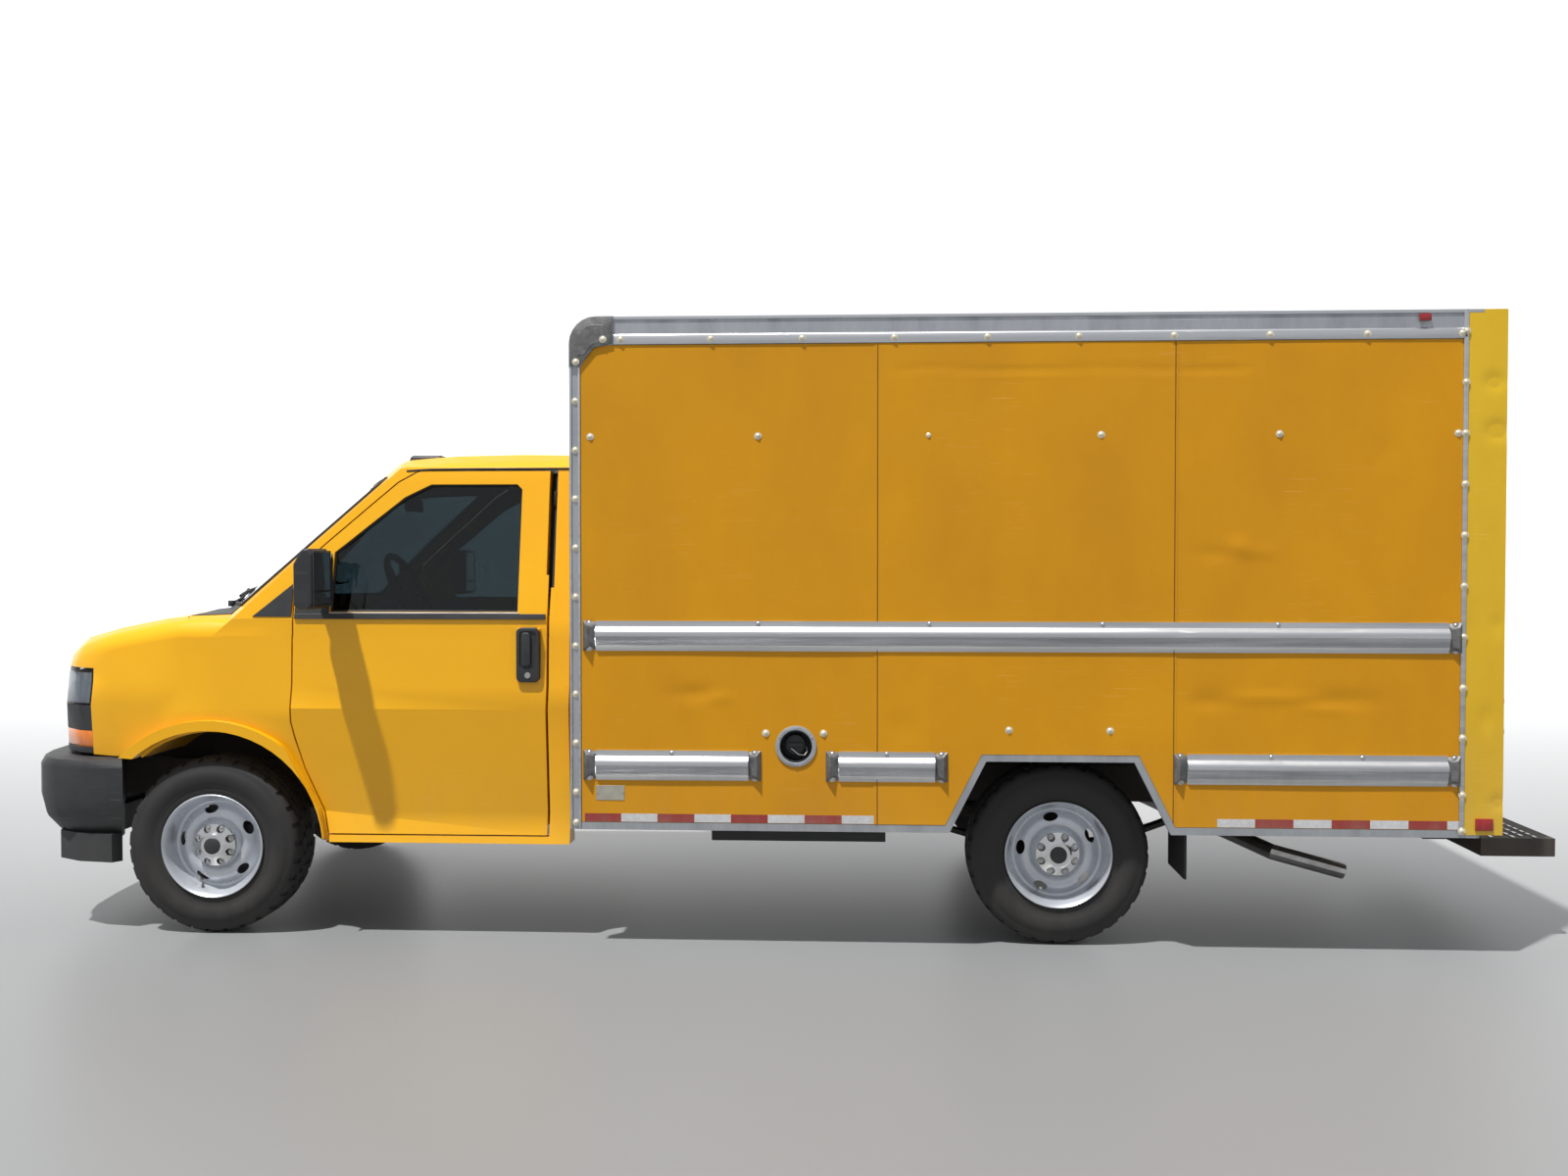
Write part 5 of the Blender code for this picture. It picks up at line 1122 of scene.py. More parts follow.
def place_bolts(spots, name, look, radius):
    first = bolt(radius)
    copies = []
    for x, z, out in spots:
        turn = Matrix.Rotation(random.uniform(0, 3), 4, "Y")
        copies.append(copied(first, Matrix.Translation((REAR_AXLE + x, -out, z)) @ turn))
    bpy.data.objects.remove(first, do_unlink=True)
    both(merged(copies), name, look, "van")
    print(name, len(spots))


place_bolts(bolt_places(), "panel_bolts", BOLT, 0.0110)
place_bolts(rail_bolts(), "rail_bolts", STEEL, 0.0105)


# %% [markdown]
# Along the skirt runs reflecting tape in red and white lengths. Small lamps and reflectors mark the
# corners, and a blank grey label and the fuel filler finish the left side.

# %% Tape, lamps and the filler
TAPE_LOW, TAPE_HIGH = SKIRT + 0.033, SKIRT + 0.066
TAPE_Y = PANEL + 0.0051


def tape_runs():
    """(start, end, is red) for each length, from the front to the rear."""
    runs = []
    x, red = SHEET_START + 0.012, True
    while x < SHEET_END - 0.03:
        end = min(x + 0.149, SHEET_END - 0.006)
        if end < REAR_AXLE - 0.490 or x > REAR_AXLE + 0.480:
            runs.append((x, end, red))
        x, red = end, not red
    return runs


for is_red, name, look in ((True, "red_tape", RED_TAPE), (False, "white_tape", WHITE_TAPE)):
    strips = [block((start + 0.0006, end - 0.0006), (-TAPE_Y, -TAPE_Y - 0.0006), (TAPE_LOW, TAPE_HIGH))
              for start, end, red in tape_runs() if red == is_red]
    both(merged(strips), name, look, "van", 0)

marker = block((REAR_AXLE + 1.373, REAR_AXLE + 1.418), (-SIDE - 0.0165, -SIDE - 0.001),
               (BOX_TOP - 0.046, BOX_TOP - 0.018), 0.004)
both(marker, "top_marker", RED_LENS, "van")
reflector = block((BOX_REAR - 0.108, BOX_REAR - 0.040), (-SIDE - 0.0110, -SIDE - 0.003),
                  (SKIRT + 0.030, SKIRT + 0.078), 0.002)
both(reflector, "side_reflector", RED_LENS, "van")
label = block((REAR_AXLE - 1.879, REAR_AXLE - 1.763), (-TAPE_Y, -TAPE_Y - 0.0010), (0.600, 0.660), 0.0004, 1)
done(label, "blank_label", BLANK_PLATE, "van")
for x in (-1.874, -1.768):
    rivet = disc((REAR_AXLE + x, -TAPE_Y - 0.0014, 0.630), 0.0035, 0.0016, sides=12)
    done(rivet, "label_rivet_%d" % round(-x * 1000), STEEL, "van")

filler = middle("fuel_filler")
flange = disc((filler.x, -SIDE - 0.0040, filler.z), 0.0830, 0.006, sides=56)
boolean(flange, disc((filler.x, -SIDE, filler.z), 0.0655, 0.05, sides=56))
rounded(flange, 0.0015)
SCREW_RING = 0.0745
screws = [disc((filler.x + SCREW_RING * math.cos(a), -SIDE - 0.0080, filler.z + SCREW_RING * math.sin(a)),
               0.0042, 0.003, sides=12, bevel=0.0008) for a in (0.52, 2.62, 4.71)]
done(merged([flange] + screws), "filler_flange", DULL_ALUMINIUM, "van")
gas_cap = disc((filler.x - 0.004, -SIDE + 0.034, filler.z + 0.004), 0.0400, 0.022, sides=40, bevel=0.003)
grip = block((filler.x - 0.036, filler.x + 0.028), (-SIDE + 0.012, -SIDE + 0.026),
             (filler.z - 0.004, filler.z + 0.012), 0.003)
done(merged([gas_cap, grip]), "gas_cap", BLACK, "van")
strap = [(filler.x - 0.020, -SIDE + 0.014, filler.z - 0.010),
         (filler.x + 0.010, -SIDE + 0.006, filler.z - 0.034),
         (filler.x + 0.034, -SIDE + 0.010, filler.z - 0.038),
         (filler.x + 0.046, -SIDE + 0.020, filler.z - 0.022),
         (filler.x + 0.040, -SIDE + 0.030, filler.z - 0.006)]
done(sweep(strap, 0.0026), "cap_strap", STEEL, "van")
print("left side finished")

# %% [markdown]
# The cab's black and bright trim follows edges that the CAD model already has. Two helpers read them:
# one walks round the open edge of a pane, and one cuts a patch out of a panel to lay trim on.

# %% Reading edges and patches off the CAD
def rim_loop(node, facing):
    """The corners round the side of a pane that faces a direction, in order."""
    pane = skin_copy(node)
    bm = bmesh.new()
    bm.from_mesh(pane.data)
    facing = Vector(facing).normalized()
    away = [face for face in bm.faces if face.normal.dot(facing) < 0.55]
    bmesh.ops.delete(bm, geom=away, context="FACES")
    edges = [edge for edge in bm.edges if len(edge.link_faces) == 1]
    follow = {}
    for edge in edges:
        for corner in edge.verts:
            follow.setdefault(corner, []).append(edge.other_vert(corner))
    start = here = edges[0].verts[0]
    before, loop = None, []
    while True:
        loop.append(here.co.copy())
        ahead = [corner for corner in follow[here] if corner is not before]
        before, here = here, ahead[0]
        if here is start or len(loop) > len(edges):
            break
    bm.free()
    bpy.data.objects.remove(pane, do_unlink=True)
    spaced = [loop[0]]
    for point in loop[1:]:
        if (point - spaced[-1]).length > 0.008:
            spaced.append(point)
    return spaced


def patch(node, x, y, z, test, thick):
    """The part of a CAD panel inside a block whose faces pass a test, as a raised skin."""
    skin = skin_copy(node)
    boolean(skin, block(x, y, z), "INTERSECT")
    pick(skin, lambda face: not test(face.normal))
    bpy.ops.mesh.delete(type="FACE")
    bpy.ops.object.mode_set(mode="OBJECT")
    modify(skin, "SOLIDIFY", thickness=thick, offset=1.0, use_even_offset=True)
    return skin


BELT_Z, BELT_HALF, TUMBLEHOME = 1.326, 0.970, 0.1886      # where the side starts to lean in, and its slope


def lean(z):
    """How far out the cab's side is above the belt line."""
    return BELT_HALF - (z - BELT_Z) * TUMBLEHOME


def on_side(points, near, far):
    """A plate on the leaning side of the cab, between two distances from its surface."""
    obj = plate(points, -near, -far)
    for corner in obj.data.vertices:
        corner.co.y -= lean(corner.co.z)
    return obj


# %% [markdown]
# Rubber seals frame the glass. A black panel fills the corner ahead of the door window, and another one
# carries the mirror. Under the window lie a black belt strip and a thin bright one.

# %% Window trim
for side, word in SIDES:
    loop = rim_loop("door_glass_" + word, (0, side, 0.2))
    seal = sweep([point + Vector((0, side * 0.004, 0)) for point in loop], 0.0085, 8, closed=True)
    done(seal, "window_seal_" + word, RUBBER, "door_" + word, 60)
screen_rim = rim_loop("windshield", (-0.64, 0, 0.77))
done(sweep([point + Vector((-0.003, 0, 0.004)) for point in screen_rim], 0.0100, 8, closed=True),
     "screen_seal",
     RUBBER, "van", 60)

sail = on_side([(cab(0.357), 1.3290), (cab(0.503), 1.3290), (cab(0.503), 1.592), (cab(0.455), 1.552),
                (cab(0.357), 1.470)], 0.0004, 0.0040)
belt = on_side([(cab(0.357), 1.3270), (cab(1.418), 1.3270), (cab(1.418), 1.3490), (cab(0.357), 1.3490)],
               0.001, 0.0075)
bright = on_side([(cab(0.505), 1.3500), (cab(1.306), 1.3500), (cab(1.306), 1.3545), (cab(0.505), 1.3545)],
                 -0.004, 0.0080)
both(rounded(merged([sail, belt]), 0.0012, 1), "belt_trim", BLACK, "door_left")
both(rounded(bright, 0.0008, 1), "bright_strip", DULL_ALUMINIUM, "door_left")
quarter = on_side([(cab(0.176), 1.3360), (cab(0.343), 1.3360), (cab(0.343), 1.473)], 0.0004, 0.0035)
both(rounded(quarter, 0.001, 1), "quarter_panel", BLACK, "van")

strip = on_side([(cab(1.4365), 1.345), (cab(1.4515), 1.345), (cab(1.4515), 1.940), (cab(1.4410), 1.940)],
                -0.040, -0.016)
jamb = on_side([(cab(1.390), 1.345), (cab(1.4515), 1.345), (cab(1.4515), 1.940), (cab(1.400), 1.940)],
               -0.078, -0.066)
both(merged([strip, jamb]), "door_weatherstrip", RUBBER, "van")
drip = [(cab(x), -0.848, z) for x, z in ((0.800, 1.9500), (0.900, 1.9560), (1.100, 1.9580), (1.515, 1.9580))]
both(sweep(drip, 0.0042, 8), "drip_moulding", RUBBER, "van")
latch = block((cab(1.437), cab(1.448)), (-lean(1.83) - 0.001, -lean(1.83) + 0.03), (1.800, 1.862), 0.003)
both(latch, "gap_buffer", RUBBER, "van")
print("window trim made")


# %% [markdown]
# The door handle is a black moulding with a deep finger recess and a key barrel below it.

# %% Door handle
HANDLE_LOW = Vector((cab(1.302), -1.0, 1.068))
HANDLE_HIGH = Vector((cab(1.399), -1.0, 1.294))


def rounded_box(x0, z0, x1, z1, radius, steps=6):
    """Corners of a rectangle with round corners, in XZ."""
    points = []
    for cx, cz, start in ((x1 - radius, z1 - radius, 0), (x0 + radius, z1 - radius, 90),
                          (x0 + radius, z0 + radius, 180), (x1 - radius, z0 + radius, 270)):
        for step in range(steps + 1):
            a = math.radians(start + 90 * step / steps)
            points.append((cx + radius * math.cos(a), cz + radius * math.sin(a)))
    return points


surround = plate(rounded_box(HANDLE_LOW.x, HANDLE_LOW.z, HANDLE_HIGH.x, HANDLE_HIGH.z, 0.022), -0.974,
                 -1.0045)
rounded(surround, 0.004, 3)
hollow = plate(rounded_box(HANDLE_LOW.x + 0.014, 1.128, HANDLE_HIGH.x - 0.014, 1.280, 0.016), -0.9995, -1.05)
boolean(surround, hollow)
paddle = plate(rounded_box(HANDLE_LOW.x + 0.022, 1.135, HANDLE_HIGH.x - 0.036, 1.274, 0.013), -0.9990,
               -1.0100)
rounded(paddle, 0.004, 3)
barrel = disc((cab(1.350), -1.0050, 1.097), 0.0125, 0.004, sides=24, bevel=0.001)
slot = block((cab(1.348), cab(1.352)), (-1.009, -1.0060), (1.090, 1.104))
boolean(barrel, slot)
both(merged([surround, paddle]), "door_handle", BLACK, "door_left")
both(barrel, "key_barrel", STEEL, "door_left")


# %% [markdown]
# A headlamp is a clear cover over a silvered bowl, above a black filler and an amber signal lens. All are
# cut from the CAD lamp block, so they follow the curve of the nose.

# %% Headlamps
REFLECTOR = surface("silvered_bowl", (0.42, 0.45, 0.48), (0.20, 0.22, 0.25), 0.18, metal=1.0,
                    variation=(24.0, (1, 1, 0.15)), bump=0.5)


def lamp_slice(node, low, high, shrink=0.0):
    """The lamp block between two heights, drawn in a little."""
    part = skin_copy(node)
    boolean(part, block((-4, 0), (-2, 2), (low, high)), "INTERSECT")
    if shrink:
        centre = sum((corner.co for corner in part.data.vertices), Vector()) / len(part.data.vertices)
        for corner in part.data.vertices:
            corner.co = centre + (corner.co - centre) * (1.0 - shrink)
    return part


SIGNAL_LOW, SIGNAL_HIGH = 0.7725, 0.8440
COVER_LOW = 0.951
for side, word in SIDES:
    node = "headlamp_" + word
    cover = rounded(lamp_slice(node, COVER_LOW, 1.2), 0.003, 2, 40)
    bowl = lamp_slice(node, COVER_LOW + 0.006, 1.094, shrink=0.07)
    filler_low = rounded(lamp_slice(node, 0.700, SIGNAL_LOW - 0.0005), 0.002, 1, 40)
    filler_high = rounded(lamp_slice(node, SIGNAL_HIGH + 0.0005, COVER_LOW - 0.001), 0.002, 1, 40)
    signal = rounded(lamp_slice(node, SIGNAL_LOW, SIGNAL_HIGH), 0.003, 2, 40)
    done(cover, "lamp_cover_" + word, CLEAR_LENS, "van")
    done(bowl, "lamp_bowl_" + word, REFLECTOR, "van")
    done(merged([filler_low, filler_high]), "lamp_filler_" + word, BLACK, "van")
    done(signal, "signal_lens_" + word, AMBER, "van")
    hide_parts(node)
print("headlamps made")


# %% [markdown]
# Black plastic covers the cowl at the foot of the windshield, with a grille of slots, and two wipers lie
# on the glass. The mirrors get a flat glass and a small round one below it.

# %% Cowl, wipers and mirror glass
cowl = patch("cab_shell", (cab(-0.5), cab(0.30)), (-0.885, 0.885), (1.300, 1.386),
             lambda normal: normal.z > 0.55, 0.003)
done(cowl, "cowl_panel", BLACK, "van")


SCREEN_FOOT = (-0.235, 1.330)     # cab station and height of the glass at the middle of its lower edge
SCREEN_BOW, SCREEN_HALF = 0.300, 0.93
SCREEN_RUN = 1.200                # how far back the glass goes per metre of height
SCREEN_NORMAL = (-0.64, 0.77)


def on_screen(y, z, off=0.0):
    """A place on the windshield's outer face, lifted off it."""
    x = SCREEN_FOOT[0] + SCREEN_BOW * (y / SCREEN_HALF) ** 2 + SCREEN_RUN * (z - SCREEN_FOOT[1])
    return Vector((cab(x + 0.008) + off * SCREEN_NORMAL[0], y, z + off * SCREEN_NORMAL[1]))


wipers = []
for root, tip in (((-0.66, 1.372), (-0.08, 1.420)), ((0.02, 1.372), (0.60, 1.425))):
    places = [on_screen(root[0] + (tip[0] - root[0]) * t / 10, root[1] + (tip[1] - root[1]) * t / 10 + 0.02,
                        0.010)
              for t in range(11)]
    wipers.append(sweep(places, 0.0045, 8))
    wipers.append(sweep([point + Vector((-0.004, 0, 0.008)) for point in places[1:-1]], 0.0060, 8))
    pivot = on_screen(root[0], root[1] - 0.005, 0.018)
    wipers.append(sweep([pivot, pivot + Vector((0, 0.10, 0.018)), places[5] + Vector((-0.010, 0, 0.012))],
                        0.0070, 8))
    wipers.append(disc(pivot, 0.018, 0.026, "Z", 20, 0.003))
done(merged(wipers), "wipers", BLACK, "van", 60)

MIRROR_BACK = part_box("mirror_left")[1][0]
glass = block((MIRROR_BACK + 0.0006, MIRROR_BACK + 0.0030), (-1.222, -1.045), (1.450, 1.606), 0.001, 1)
spot = block((MIRROR_BACK + 0.0006, MIRROR_BACK + 0.0036), (-1.222, -1.045), (1.392, 1.444), 0.001, 1)
SILVER = surface("mirror_silver", (0.86, 0.88, 0.90), (0.82, 0.84, 0.86), 0.03, metal=1.0,
                 variation=(3.0, (1, 1, 1)),
                 bump=0.02, rough_swing=0.02)
both(merged([glass, spot]), "mirror_glass", SILVER, "door_left")
bezel = block((MIRROR_BACK - 0.002, MIRROR_BACK + 0.005), (-1.229, -1.038), (1.386, 1.612), 0.003)
window = block((MIRROR_BACK - 0.01, MIRROR_BACK + 0.02), (-1.224, -1.043), (1.390, 1.608), 0.004)
both(boolean(bezel, window), "mirror_bezel", BLACK, "door_left")

markers, bases = [], []
for index, y in enumerate((-0.56, -0.15, 0.0, 0.15, 0.56)):
    drop = 0.012 * (y / 0.56) ** 2
    bases.append(block((cab(0.735), cab(0.885)), (y - 0.046, y + 0.046), (2.000 - drop, 2.046 - drop), 0.018,
                       4))
    lens = block((cab(0.728), cab(0.770)), (y - 0.032, y + 0.032), (2.008 - drop, 2.030 - drop), 0.008, 3)
    markers.append(lens)
done(merged(bases), "roof_lamp_bases", BLACK, "van")
done(merged(markers), "roof_lamps", AMBER, "van")
print("cab outside finished")

# %% [markdown]
# The body panels come from the CAD model with their facets merged, small rounded edges and smooth
# normals, so light runs along them as on pressed steel.

# %% Pressed panels
PRESSED = {"cab_shell": "van", "hood": "hood", "fender_left": "van", "fender_right": "van",
           "door_left": "door_left", "door_right": "door_right", "front_bumper": "van", "rear_frame": "van",
           "mirror_left": "door_left", "mirror_right": "door_right", "dashboard": "van"}
for node, body in PRESSED.items():
    skin = skin_copy(node)
    only(skin)
    bpy.ops.object.mode_set(mode="EDIT")
    bpy.ops.mesh.select_all(action="SELECT")
    bpy.ops.mesh.dissolve_limited(angle_limit=math.radians(1.5))
    bpy.ops.object.mode_set(mode="OBJECT")
    rounded(skin, 0.0025, 2, 38)
    done(skin, node + "_skin", KEPT[node], body, 38)
    modify(skin, "WEIGHTED_NORMAL", keep_sharp=True, weight=60)
    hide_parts(node)
print("pressed panels:", len(PRESSED))


# %% [markdown]
# A seat is three stuffed pieces on a hard frame. Each piece starts as blocks that meet at the sewn
# channels, gets a fine even mesh, and is blown up as cloth under pressure. A cap on the movement keeps it
# inside its frame. The right seat is a mirrored copy.

# %% Seats
CUSHION_VOXEL = 0.006
CUSHION_PRESSURE, CUSHION_FRAMES = 4.0, 20
SEAT_Y = 0.520


def stuffed(parts, matrix, cap):
    """One cushion: blocks are fused, swollen by cloth pressure, and turned into place."""
    pad = merged(parts)
    modify(pad, "REMESH", mode="VOXEL", voxel_size=CUSHION_VOXEL)
    before = [corner.co.copy() for corner in pad.data.vertices]
    puff = pad.modifiers.new("puff", "CLOTH")
    puff.settings.use_pressure = True
    puff.settings.uniform_pressure_force = CUSHION_PRESSURE
    puff.settings.effector_weights.gravity = 0.0
    for frame_number in range(1, CUSHION_FRAMES + 1):
        bpy.context.scene.frame_set(frame_number)
    shape = pad.evaluated_get(bpy.context.evaluated_depsgraph_get()).to_mesh()
    after = [corner.co.copy() for corner in shape.vertices]
    pad.modifiers.remove(puff)
    bpy.context.scene.frame_set(1)
    for corner, start, end in zip(pad.data.vertices, before, after):
        step = end - start
        corner.co = start + step * min(1.0, cap / max(step.length, 1e-9))
    modify(pad, "SMOOTH", factor=0.5, iterations=3)
    modify(pad, "SUBSURF", levels=1, render_levels=1)
    pad.data.transform(matrix)
    return pad


def pads(rows, height, depth, channel=0.004):
    """Blocks side by side, from a list of (low y, high y, extra height, extra depth)."""
    made = []
    for low, high, taller, deeper in rows:
        made.append(block((-depth / 2 - deeper, depth / 2), (low + channel, high - channel),
                          (-height / 2, height / 2 + taller), 0.022, 3))
    core = block((-depth / 2 + 0.014, depth / 2 - 0.006), (rows[0][0] + 0.012, rows[-1][1] - 0.012),
                 (-height / 2 + 0.014, height / 2 - 0.014), 0.01)
    return made + [core]


BACK_LEAN = Matrix.Rotation(math.radians(10.5), 4, "Y")
BACK_PLACE = Matrix.Translation((cab(1.338), -SEAT_Y, 1.275)) @ BACK_LEAN
BASE_ROWS = [(-0.232, -0.150, 0.014, 0.0), (-0.150, 0.0, 0.0, 0.006), (0.0, 0.150, 0.0, 0.006),
             (0.150, 0.232, 0.014, 0.0)]
BACK_ROWS = [(-0.228, -0.145, -0.010, 0.012), (-0.145, 0.0, 0.0, 0.0), (0.0, 0.145, 0.0, 0.0),
             (0.145, 0.228, -0.010, 0.012)]
HEAD_ROWS = [(-0.118, 0.118, 0.0, 0.0)]
cushions = [
    ("seat_base", stuffed(pads(BASE_ROWS, 0.105, 0.425), Matrix.Translation((cab(1.070), -SEAT_Y, 0.950)),
                          0.010)),
    ("seat_back", stuffed(pads(BACK_ROWS, 0.440, 0.078), BACK_PLACE, 0.011)),
    ("headrest", stuffed(pads(HEAD_ROWS, 0.175, 0.055),
                         Matrix.Translation((cab(1.410), -SEAT_Y, 1.640)) @ BACK_LEAN, 0.010))]
for name, pad in cushions:
    twin = copied(pad, OTHER_SIDE)
    only(twin)
    bpy.ops.object.mode_set(mode="EDIT")
    bpy.ops.mesh.select_all(action="SELECT")
    bpy.ops.mesh.normals_make_consistent(inside=False)
    bpy.ops.object.mode_set(mode="OBJECT")
    for obj, word in ((pad, "left"), (twin, "right")):
        done(obj, name + "_" + word, CLOTH, "van", 60)
    if name == "seat_base":
        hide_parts("driver_seat")
        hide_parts("passenger_seat")

frame_parts = [block((cab(0.93), cab(1.30)), (-SEAT_Y - 0.17, -SEAT_Y + 0.17), (0.735, 0.872), 0.012, 3),
               block((cab(0.845), cab(1.325)), (-SEAT_Y - 0.236, -SEAT_Y + 0.236), (0.868, 0.892), 0.008, 2)]
shell = block((0.046, 0.058), (-0.215, 0.215), (-0.245, 0.215), 0.010, 3)
shell.data.transform(BACK_PLACE)
lever = block((cab(1.15), cab(1.29)), (-SEAT_Y - 0.249, -SEAT_Y - 0.234), (0.890, 0.930), 0.007, 3)
buckle = block((cab(1.275), cab(1.300)), (-SEAT_Y + 0.236, -SEAT_Y + 0.256), (0.880, 1.075), 0.006, 2)
both(merged(frame_parts + [shell, lever, buckle]), "seat_frame", VINYL, "van")
posts = [bar((cab(1.392), -SEAT_Y + y, 1.490), (cab(1.408), -SEAT_Y + y, 1.580), 0.006)
         for y in (-0.05, 0.05)]
both(merged(posts), "headrest_posts", CHROME, "van")


def strap(points, width, thick=0.0015):
    """Flat webbing through a list of places, its width along X."""
    rows = [[Vector((x - width / 2, y, z)), Vector((x + width / 2, y, z))] for x, y, z in points]
    mesh = bpy.data.meshes.new("strap")
    mesh.from_pydata([corner for row in rows for corner in row], [],
                     [(2 * i, 2 * i + 1, 2 * i + 3, 2 * i + 2) for i in range(len(rows) - 1)])
    obj = bpy.data.objects.new("strap", mesh)
    bpy.context.scene.collection.objects.link(obj)
    return modify(obj, "SOLIDIFY", thickness=thick, offset=0.0)


belt_run = [(cab(1.470 + 0.004 * math.sin(i)), -0.838 - 0.045 * math.sin(math.pi * i / 14), 1.700 - 0.056 * i)
            for i in range(15)]
both(strap(belt_run, 0.047), "seat_belt", VINYL, "van")
guide = block((cab(1.440), cab(1.500)), (-0.850, -0.832), (1.690, 1.730), 0.006, 2)
both(guide, "belt_guide", BLACK, "van")
print("seats made")


# %% [markdown]
# The dash gets an instrument hood, vents, a screen and a glove box. The doors get trim panels, armrests and
# pull handles, and sun visors, a mirror and grab handles hang at the windshield.

# %% Inside the cab
hood_over = block((cab(0.545), cab(0.700)), (-0.560, -0.200), (1.300, 1.385), 0.022, 4)
dials = block((cab(0.640), cab(0.760)), (-0.535, -0.225), (1.288, 1.366), 0.012, 3)
boolean(hood_over, dials)
stack = block((cab(0.640), cab(0.735)), (-0.150, 0.150), (1.080, 1.330), 0.014, 3)
done(merged([hood_over, stack]), "dash_hood", GREY_PLASTIC, "van")
faces = [disc((cab(0.648), y, 1.330), 0.036, 0.004, "X", 28, 0.001) for y in (-0.46, -0.38, -0.30)]
screen, radio = [block((cab(0.734), cab(0.739)), (-0.105, 0.105), heights, 0.004, 2)
                 for heights in ((1.235, 1.315), (1.165, 1.225))]
knobs = [disc((cab(0.744), y, 1.125), 0.014, 0.018, "X", 20, 0.003) for y in (-0.07, 0.0, 0.07)]
vents = []
for y in (-0.76, -0.17, 0.17, 0.76):
    for row in range(5):
        z = 1.225 + 0.014 * row
        vents.append(block((cab(0.702 - 0.002 * row), cab(0.716 - 0.002 * row)), (y - 0.055, y + 0.055),
                           (z, z + 0.006)))
done(merged(faces + [screen, radio] + knobs + vents), "dash_fittings", BLACK, "van")
glove = block((cab(0.700), cab(0.728)), (0.26, 0.70), (1.080, 1.180), 0.010, 3)
done(glove, "glove_box", GREY_PLASTIC, "van")

TRIM_FACE = 0.936                 # middle of the door trim's thickness, from the van's middle plane
trim = block((cab(0.560), cab(1.400)), (-TRIM_FACE - 0.008, -TRIM_FACE + 0.006), (0.560, 1.285), 0.010, 3)
armrest = block((cab(0.86), cab(1.24)), (-TRIM_FACE, -0.870), (1.010, 1.060), 0.016, 4)
pocket = block((cab(0.62), cab(1.18)), (-TRIM_FACE, -0.900), (0.600, 0.720), 0.012, 3)
pull = sweep([(cab(0.93), -0.932, 1.12), (cab(0.94), -0.900, 1.13), (cab(1.10), -0.900, 1.15),
              (cab(1.11), -0.932, 1.16)], 0.009, 10)
both(merged([trim, armrest, pocket]), "door_trim", GREY_PLASTIC, "door_left")
both(pull, "door_pull", BLACK, "door_left")

visors = block((cab(0.745), cab(0.885)), (-0.70, -0.24), (1.935, 1.952), 0.006, 2)
both(visors, "sun_visor", TRIM, "van")
grab = sweep([(cab(0.40), -0.838, 1.475), (cab(0.425), -0.800, 1.510), (cab(0.56), -0.770, 1.660),
              (cab(0.600), -0.800, 1.705)], 0.011, 10)
both(grab, "grab_handle", GREY_PLASTIC, "van")
mirror = block((cab(0.560), cab(0.580)), (-0.125, 0.125), (1.800, 1.862), 0.012, 3)
done(mirror, "inside_mirror", BLACK, "van")
print("cab inside finished")

# %% [markdown]
# The rear door is a stack of hinged slats with a latch and a pull strap. Round it sit the
# lamps and a blank plate with its small light. The step gets a grip pattern.

# %% Rear end
REAR_FACE = 2.893
SLAT_COUNT = 6
DOOR_LOW, DOOR_HIGH = 0.822, 2.320
slat_height = (DOOR_HIGH - DOOR_LOW) / SLAT_COUNT
slats, hinges = [], []
for index in range(SLAT_COUNT):
    low = DOOR_LOW + slat_height * index
    slats.append(block((REAR_FACE - 0.018, REAR_FACE + 0.004), (-1.008, 1.008),
                       (low + 0.003, low + slat_height - 0.003), 0.006, 2))
    if index:
        for y in (-0.90, -0.45, 0.0, 0.45, 0.90):
            hinges.append(block((REAR_FACE + 0.002, REAR_FACE + 0.010), (y - 0.030, y + 0.030),
                                (low - 0.035, low + 0.035), 0.003, 2))
            hinges.append(bar((REAR_FACE + 0.010, y - 0.032, low), (REAR_FACE + 0.010, y + 0.032, low), 0.006,
                              10))
done(merged(slats), "door_slats", WHITE, "van")
done(merged(hinges), "slat_hinges", STEEL, "van")
latch = [block((REAR_FACE + 0.002, REAR_FACE + 0.020), (-0.085, 0.085), (0.840, 0.960), 0.006, 3),
         bar((REAR_FACE + 0.018, -0.060, 0.925), (REAR_FACE + 0.024, 0.075, 0.925), 0.010, 14),
         disc((REAR_FACE + 0.018, 0.0, 0.880), 0.020, 0.012, "X", 24, 0.002)]
done(merged(latch), "door_latch", STEEL, "van")
pull = sweep([(REAR_FACE + 0.012, 0.24, 0.990), (REAR_FACE + 0.020, 0.245, 0.940),
              (REAR_FACE + 0.012, 0.25, 0.845)], 0.008, 8)
done(pull, "pull_strap", VINYL, "van")

BACK = 2.918
MARKER_HEIGHTS = (2.475, 2.502)
lenses, rims = [], []
for side, word in SIDES:
    for z in (1.02, 0.90):
        lenses.append(disc((BACK + 0.003, side * 1.058, z), 0.034, 0.006, "X", 28, 0.002))
        rims.append(disc((BACK + 0.0015, side * 1.058, z), 0.039, 0.003, "X", 28, 0.001))
    lenses.append(block((BACK, BACK + 0.012), (side * 0.95 - 0.05, side * 0.95 + 0.05), MARKER_HEIGHTS,
                        0.005, 2))
for y in (-0.16, 0.0, 0.16):
    lenses.append(block((BACK, BACK + 0.012), (y - 0.05, y + 0.05), MARKER_HEIGHTS, 0.005, 2))
done(merged(lenses), "tail_lamps", RED_LENS, "van")
done(merged(rims), "tail_lamp_rims", RUBBER, "van")

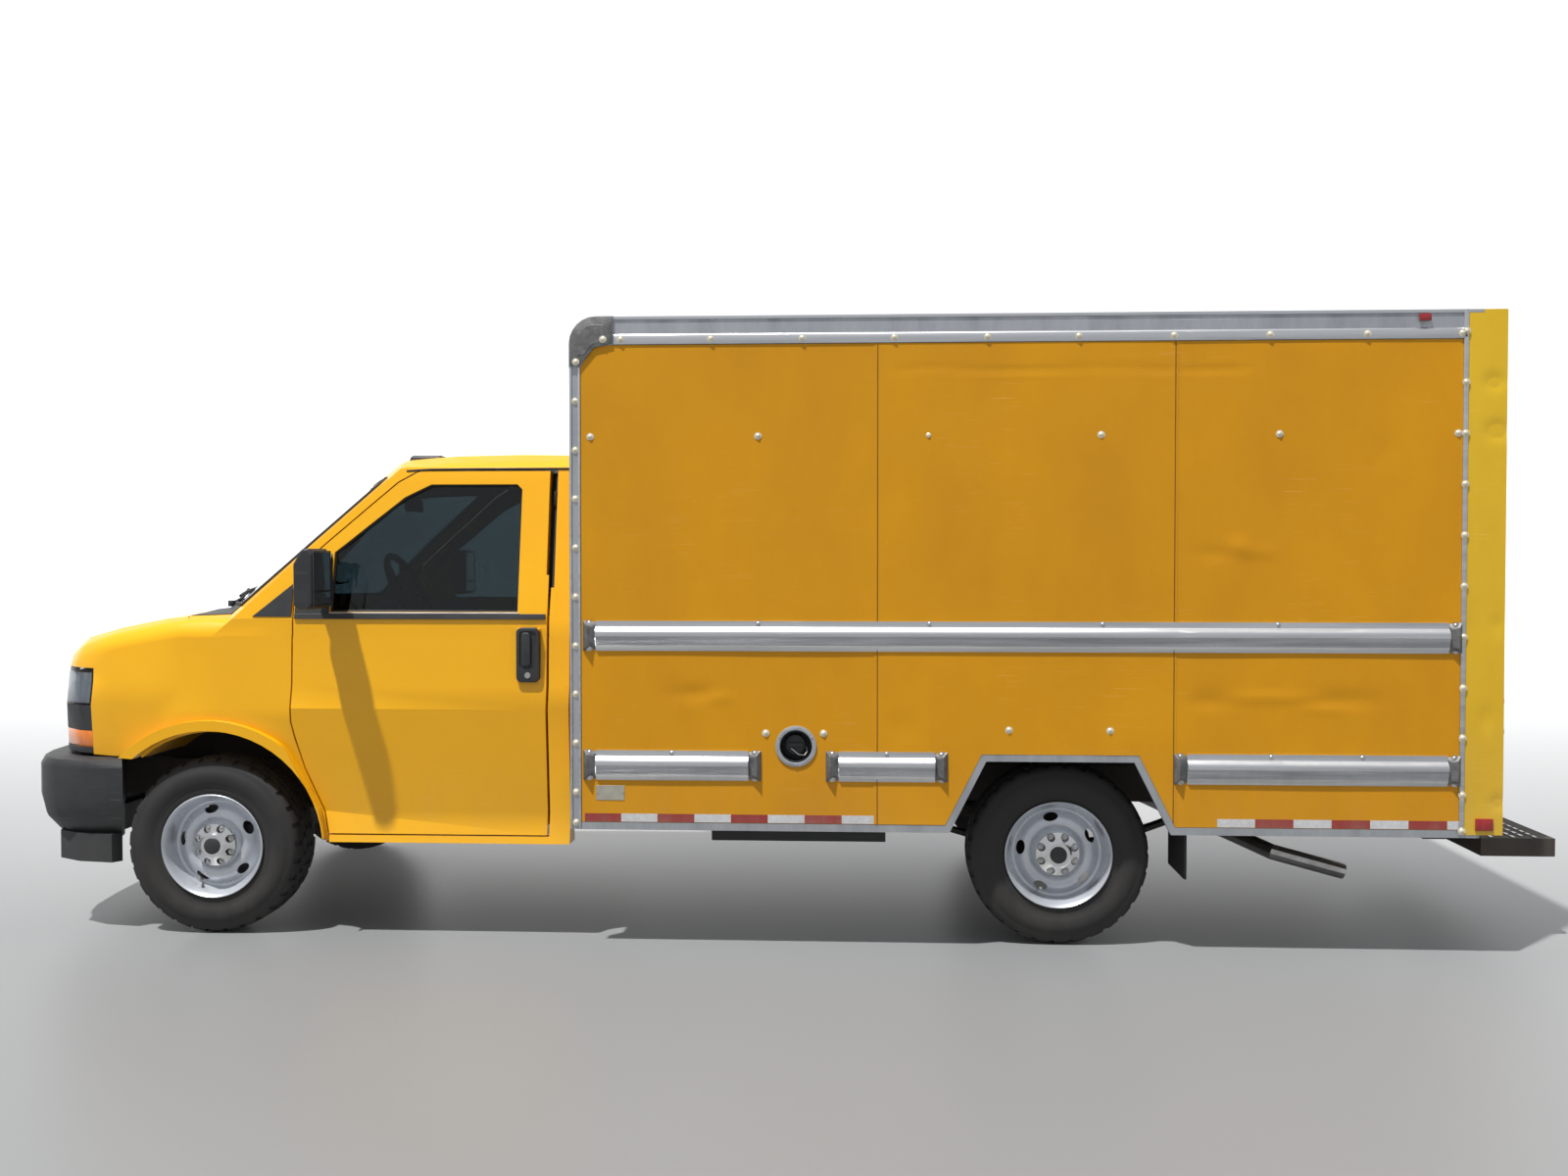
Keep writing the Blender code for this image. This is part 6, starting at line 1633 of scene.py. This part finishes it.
plate_frame = block((BACK + 0.001, BACK + 0.006), (-0.80, -0.49), (0.620, 0.780), 0.006, 2)
done(plate_frame, "blank_plate", BLANK_PLATE, "van")
plate_bolts = [disc((BACK + 0.008, y, z), 0.006, 0.004, "X", 12)
               for y in (-0.74, -0.55) for z in (0.640, 0.760)]
plate_lamp = block((BACK, BACK + 0.030), (-0.675, -0.615), (0.785, 0.802), 0.004, 2)
done(merged(plate_bolts + [plate_lamp]), "plate_fittings", BLACK, "van")

STEP_TOP = 0.420
GRIP_ALONG, GRIP_ACROSS = 0.045, 0.06
grips = []
for row in range(5):
    x = 3.010 + GRIP_ALONG * row
    for column in range(26):
        y = -0.75 + GRIP_ACROSS * column + (GRIP_ACROSS / 2 if row % 2 else 0.0)
        if y < 0.76:
            grips.append(block((x, x + 0.012), (y - 0.018, y + 0.018), (STEP_TOP, STEP_TOP + 0.0035)))
done(merged(grips), "step_grips", STEEL, "van")


# %% [markdown]
# The roof has flat seams across it and a rivet line along each edge. The front wall of the box carries
# five marker lamps above the cab.

# %% Roof and box front
seams = [block((x - 0.012, x + 0.012), (-1.085, 1.085), (BOX_TOP - 0.0022, BOX_TOP - 0.0002), 0.0008, 1)
         for x in (-0.45, 0.17, 0.79, 1.41, 2.03, 2.65)]
done(merged(seams), "roof_seams", DULL_ALUMINIUM, "van")

front_lenses, front_bases = [], []
for y in (-0.95, -0.16, 0.0, 0.16, 0.95):
    front_bases.append(block((BOX_FRONT - 0.006, BOX_FRONT), (y - 0.055, y + 0.055), (2.430, 2.470), 0.004,
                             2))
    front_lenses.append(block((BOX_FRONT - 0.018, BOX_FRONT - 0.004), (y - 0.045, y + 0.045), (2.436, 2.464),
                              0.006, 3))
done(merged(front_bases), "front_lamp_bases", BLACK, "van")
done(merged(front_lenses), "front_lamps", AMBER, "van")
rivets = [disc((BOX_FRONT - 0.002, y, z), 0.007, 0.004, "X", 10) for z in (2.20, 2.36) for y in
          [-0.96 + 0.16 * i for i in range(13)]]
done(merged(rivets), "front_rivets", BOLT, "van")
print("rear and roof finished")


# %% [markdown]
# Behind the open bars of the grille stands a fine mesh of upright wires, so the radiator stays in shade.

# %% Grille mesh
GRILLE_LOW, GRILLE_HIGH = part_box("grille")
wires = []
for index in range(57):
    y = -0.56 + 0.02 * index
    bow = 0.030 * (y / 0.56) ** 2
    x = GRILLE_LOW.x + 0.048 + bow
    wires.append(block((x, x + 0.003), (y - 0.0035, y + 0.0035),
                       (GRILLE_LOW.z + 0.004, GRILLE_HIGH.z - 0.004)))
done(merged(wires), "grille_mesh", BLACK, "van")
print("nose finished")

# %% Finish
for obj in bpy.data.objects:
    obj.select_set(False)
